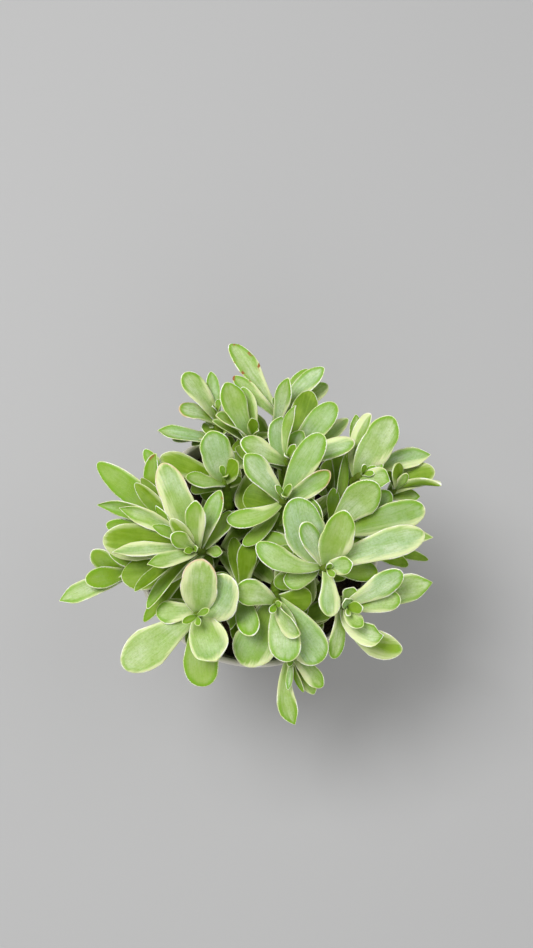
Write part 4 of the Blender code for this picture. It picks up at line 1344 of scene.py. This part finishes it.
def layLeaf(master, leaf, name, chance, look, covered):
    piece = copied(master, name)
    flat = pointsOf(piece.data)
    share = np.clip(flat[:, 0], 0, 1)
    outline = np.maximum(np.interp(share, tableShares, halfTable), 1e-4)
    across = np.clip(flat[:, 1] / (0.5 * outline), -1, 1)
    half = 0.5 * leaf.width * outline
    thick = leaf.thickness(share)
    blade, tip = rising(share, *leafSettings["bladeRise"]), rising(1 - share, 0, leafSettings["tipFall"])

    # height over the leaf's own line: cupped, with a channel down the middle and a waved margin
    cup, sink = layout["cup"] * look["cup"], leafSettings["sink"] * thick
    middle = -sink * tip + (cup * half + sink) * np.abs(across) ** leafSettings["cupCurve"]
    channel = leafSettings["channel"] * thick * np.exp(-((across / leafSettings["channelWidth"]) ** 2))
    above = flat[:, 2] > 1e-5
    height = middle + flat[:, 2] * thick - np.where(above, channel * tip * (1 - 0.5 * blade), 0.0)
    phase = chance.uniform(0, 6.283)
    wave = leafSettings["wave"] * chance.uniform(0.2, 1.0) * min(1.0, leaf.width / 9)
    ripple = np.sin(share * leafSettings["waves"] + phase + across * 0.8)
    height += wave * ripple * np.abs(across) ** 1.5 * blade * tip

    # distance to the side: lopsided, drawn in to the tip, and narrower or broader below
    shift = leafSettings["lopsided"] * chance.uniform(-1, 1) * half * np.sin(share * 3.1416) * blade
    drawnIn = chance.uniform(*leafSettings["point"]) * min(1.0, 8.0 / leaf.width) ** 1.5
    point = 1 - max(drawnIn, look["point"]) * rising(share, *leafSettings["pointRise"]) ** 1.6
    lower, spoon = rising(share, 0, layout["widestAt"]), chance.uniform(*leafSettings["spoon"])
    spoon = 1 - (leafSettings["broadSpoon"] if look["broad"] else spoon) * 4 * lower * (1 - lower)
    sideways = across * half * (1 + 0.03 * np.sin(share * 9 + phase)) * point * spoon + shift

    centre, side, up = curveFrames(leaf.controls, leaf.facing, share)
    twist = math.radians(leafSettings["twist"]) * chance.uniform(-1, 1)
    turn = twist * (share - leafSettings["twistAbout"]) * blade
    turnedSide = side * np.cos(turn)[:, None] + up * np.sin(turn)[:, None]
    turnedUp = up * np.cos(turn)[:, None] - side * np.sin(turn)[:, None]
    setPoints(piece.data, (centre + turnedSide * sideways[:, None] + turnedUp * height[:, None]) * mm)

    # what the finish reads: millimetres to the margin, side of the leaf, painted shade, cream, blush and scars
    slope = np.abs(np.gradient(halfTable, 1 / leafSettings["tableSteps"]))
    slope = np.interp(share, tableShares, slope) * 0.5 * leaf.width / leaf.length
    margin = (1 - np.abs(across)) * half / np.sqrt(1 + slope**2)
    margin = np.minimum(margin, (1 - share) * leaf.length) * min(1.9, max(1.0, 8.0 / leaf.width))
    upper = np.clip(flat[:, 2] / (0.3 * leafSettings["belly"]), -1, 1)
    offset = (chance.uniform(-400, 400), chance.uniform(-400, 400))
    toRight = 0.5 + 0.5 * np.clip(across * 2.5, -1, 1)
    fade = rising(look["creamEnd"] - share, 0, 0.3) * np.clip(share / 0.12, 0.3, 1)
    creamReach = (look["creamLeft"] * (1 - toRight) + look["creamRight"] * toRight) * fade
    # painted shade: the leaf is painted deeper green where other leaves cover its sky
    shade = rising(shadeAt(covered, share, across), *leafSettings["shadeRise"])
    depth = look["depth"] + max(0.0, leafSettings["shadeDepth"] - look["depth"]) * shade**1.2
    ones = np.ones(len(flat))
    layAttributes(
        piece.data,
        np.stack((sideways + offset[0], share * leaf.length + offset[1]), 1),
        np.stack((share, margin, upper), 1),
        np.stack((ones * look["tone"], depth, across), 1),
        np.stack((creamReach, ones * look["blush"], ones * look["scars"]), 1),
    )
    putOn(piece, leafSkin)
    return piece


def looksOf(name, leaf, covered, chance):
    # waxy and pale in the open, deep green low down inside the plant: partly each leaf's own colour, and partly
    # painted light and shade from its height and how much sky other leaves cover
    def isIn(group):
        return leaf.number in leafSettings[group].get(name, ())

    # painted shade: the lower the leaf's tip, the deeper its green
    height, over, most = leafSettings["sunk"]
    sunk = min(1.0, max(0.0, (height - leaf.tip.z) / over))
    depth = sunk * most + chance.uniform(*leafSettings["openDepth"])
    if leaf.number == lowLeaves["number"]:
        middling, least, more = leafSettings["lowDepth"]
        depth = middling + chance.uniform(least, more)
    if isIn("dark"):
        depth = leafSettings["darkDepth"]
    loss = chance.uniform(*leafSettings["waxLoss"].get(name, leafSettings["plainWaxLoss"]))
    # the wax is painted thinner and greener the more sky other leaves cover, and paler in the open: painted shade
    # and light over each stem's own spread of wax
    tone = min(1.0, loss * (0.35 + 1.5 * float(covered.mean())))
    for group, look in leafSettings["looks"].items():
        if isIn(group):
            tone, depth = look
    if leaf.number == heart["number"] or leaf.width < 4:
        tone, depth = leafSettings["youngLook"]

    low, high = leafSettings["cream"]
    wide = min(1.15, 0.4 + leaf.width / 14)
    left, right = ((low + (high - low) * chance.random()) * wide for _ in range(2))
    if chance.random() < leafSettings["oneSided"]:
        left *= leafSettings["narrowSide"]
    creamEnd = chance.uniform(*leafSettings["creamEnd"])
    if isIn("waxy"):
        tone, depth, right = 0.0, 0.0, right * 1.3
    if isIn("creamy"):
        left, right = leafSettings["creamy"][name][leaf.number]
        creamEnd = leafSettings["creamyEnd"]
    cup = chance.uniform(*leafSettings["cups"]["wide" if leaf.width > 7 else "narrow"])
    if isIn("folded"):
        cup = chance.uniform(*leafSettings["cups"]["folded"])
    blush = leafSettings["blushBy"] if isIn("blush") else max(0.0, chance.uniform(-0.6, 0.12))
    return {
        "tone": tone,
        "depth": min(1.0, depth),
        "creamLeft": left,
        "creamRight": right,
        "creamEnd": creamEnd,
        "cup": cup,
        "point": leafSettings["pointedBy"] if isIn("pointed") else 0.0,
        "broad": isIn("broadFoot"),
        "blush": leafSettings["tingedBy"] if isIn("tinged") else blush,
        "scars": leafSettings["scarsBy"].get(name, 1.0) if isIn("scars") else 0.0,
    }


stemSettings = {
    "sides": 14,
    "rings": 40,
    "knuckle": 0.22,  # swelling where a leaf sits, as a share of the radius
    "knuckleLength": 1.1,
    "between": 0.97,  # radius between the knuckles, as a share of the solid's
}


def buildStemMaster():
    bpy.ops.mesh.primitive_circle_add(
        vertices=stemSettings["sides"], radius=1.0, location=(0, 0, 0), fill_type="NGON"
    )
    stem = bpy.context.object
    stem.name = "stemMaster"
    bpy.ops.object.mode_set(mode="EDIT")
    bpy.ops.mesh.select_mode(type="EDGE")
    bpy.ops.mesh.select_all(action="SELECT")
    bpy.ops.mesh.region_to_loop()
    for ring in range(stemSettings["rings"]):
        growRing((0, 0, 0.97 / stemSettings["rings"]), (1, 1, 1), (0, 0, 0))
    growRing((0, 0, 0.02), (0.62, 0.62, 1), (0, 0, 0.99))
    bpy.ops.mesh.extrude_region_move(TRANSFORM_OT_translate={"value": (0, 0, 0.01)})
    bpy.ops.mesh.merge(type="CENTER")
    bpy.ops.object.mode_set(mode="OBJECT")
    closeUp(stem, 80)
    return stem


def layStem(master, stem, own, name, chance):
    piece = copied(master, name)
    flat = pointsOf(piece.data)
    straight = stem.foot.z - layout["stemFoot"]
    total = straight + stem.length
    run = flat[:, 2] * total
    share = np.clip((run - straight) / stem.length, 0, 1)
    centre, side, up = curveFrames(stem.controls, (0.0, 1.0, 0.0), share)
    below = run < straight
    centre[below] = np.array((stem.foot.x, stem.foot.y, 0.0))
    centre[below, 2] = layout["stemFoot"] + run[below]
    low, high = layout["stemFootRadius"], layout["stemCrownRadius"]
    radius = low + (high - low) * share
    knuckle = np.zeros(len(flat))
    for leaf in own:
        gap = (stem.length - leaf.below) - (run - straight)
        knuckle = np.maximum(knuckle, np.exp(-((gap / stemSettings["knuckleLength"]) ** 2)))
    radius = radius * (stemSettings["between"] + stemSettings["knuckle"] * knuckle)
    setPoints(piece.data, (centre + (side * flat[:, :1] + up * flat[:, 1:2]) * radius[:, None]) * mm)
    angle = np.arctan2(flat[:, 1], flat[:, 0])
    offset = chance.uniform(-300, 300)
    layAttributes(
        piece.data,
        np.stack((angle * radius + offset, run + offset), 1),
        np.stack((run / total, knuckle, np.ones(len(flat))), 1),
        (0.0, 0.0, 0.0),
        (0.0, 0.0, 0.0),
    )
    putOn(piece, stemBark)
    return piece


def canopyOf(leaves):
    # every leaf's plain solid, for the rays that find where shade is painted
    points, faces = [], []
    for own in leaves.values():
        for leaf in own:
            corners, sides = leaf.mesh()
            faces += [tuple(corner + len(points) for corner in face) for face in sides]
            points += corners
    return BVHTree.FromPolygons(points, faces)


def buildLeafyStems():
    leafMaster, stemMaster = buildLeafMaster(), buildStemMaster()
    chance = random.Random(seed + 1)
    canopy, fan = canopyOf(leaves), skyDirections()
    grown = []
    for name, stem in stems.items():
        title = "".join(word.capitalize() for word in name.split("_"))
        shoot = layStem(stemMaster, stem, leaves[name], "leafyStem" + title, chance)
        blades = []
        for number, leaf in enumerate(leaves[name]):
            covered = shadeOver(leaf, canopy, fan)
            look = looksOf(name, leaf, covered, chance)
            blades.append(layLeaf(leafMaster, leaf, f"{name}Leaf{number}", chance, look, covered))
        joinInto(shoot, blades)
        keepInBox(shoot)
        makeActive(shoot)
        bpy.ops.object.shade_smooth()
        grown.append((name, shoot))
        print("grown:", shoot.name, len(blades), "leaves")
    for master in (leafMaster, stemMaster):
        bpy.data.objects.remove(master)
    return grown


leafyStems = buildLeafyStems()


# who rides on what
for piece, node, slotName in [(pot, "pot", "glazed_pot"), (soil, "soil", "potting_soil")] + [
    (shoot, "shoot_" + name, "leaf") for name, shoot in leafyStems
]:
    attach(piece, "root")
    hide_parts(node)


studio = {
    "floorSize": 6.0,
    "floorDrop": 0.0006,  # metres under the pot's base
    "floorColour": (0.42, 0.42, 0.42, 1.0),
    "skyColour": (1.0, 1.0, 1.0, 1.0),
    "sky": 0.4,
    "lamps": (
        # place, size and watts of each lamp, all aimed at the plant
        ((-0.52, 0.32, 1.34), 0.7, 16.0),
        ((0.9, 0.3, 1.4), 1.2, 4.0),
        ((0.1, -1.2, 1.2), 1.2, 4.0),
    ),
    "aim": (0.0, 0.0, 0.09),
}


def buildStudio():
    bpy.ops.mesh.primitive_plane_add(size=studio["floorSize"], location=(0, 0, -studio["floorDrop"]))
    floor = bpy.context.object
    floor.name = "studioFloor"
    bpy.ops.object.transform_apply(location=True, rotation=True, scale=True)
    paint = Finish("paleFloor", Base_Color=studio["floorColour"], Roughness=0.7, Specular_IOR_Level=0.2)
    putOn(floor, paint.material)

    world = bpy.data.worlds.new("softRoom")
    world.use_nodes = True
    sky = world.node_tree.nodes["Background"]
    sky.inputs["Color"].default_value = studio["skyColour"]
    sky.inputs["Strength"].default_value = studio["sky"]
    bpy.context.scene.world = world

    for number, (spot, size, watts) in enumerate(studio["lamps"]):
        bpy.ops.object.light_add(type="AREA", location=spot)
        lamp = bpy.context.object
        lamp.name = f"softLamp{number}"
        lamp.data.shape = "DISK"
        lamp.data.size = size
        lamp.data.energy = watts
        lamp.rotation_euler = (Vector(studio["aim"]) - Vector(spot)).to_track_quat("-Z", "Y").to_euler()


buildStudio()

view = {
    "place": (0.004, -0.0715, 0.4885),
    "tilt": 14.0,  # degrees from straight down
    "lens": 37.975,
    "sensor": 36.0,
    "nearest": 0.01,
}
bpy.ops.object.camera_add(location=view["place"], rotation=(math.radians(view["tilt"]), 0, 0))
camera = bpy.context.object
camera.name = "overheadCamera"
camera.data.lens = view["lens"]
camera.data.sensor_width = view["sensor"]
camera.data.clip_start = view["nearest"]
camera.data.dof.use_dof = False
bpy.context.scene.camera = camera
bpy.context.scene.view_settings.view_transform = "Standard"
print("studio lit")
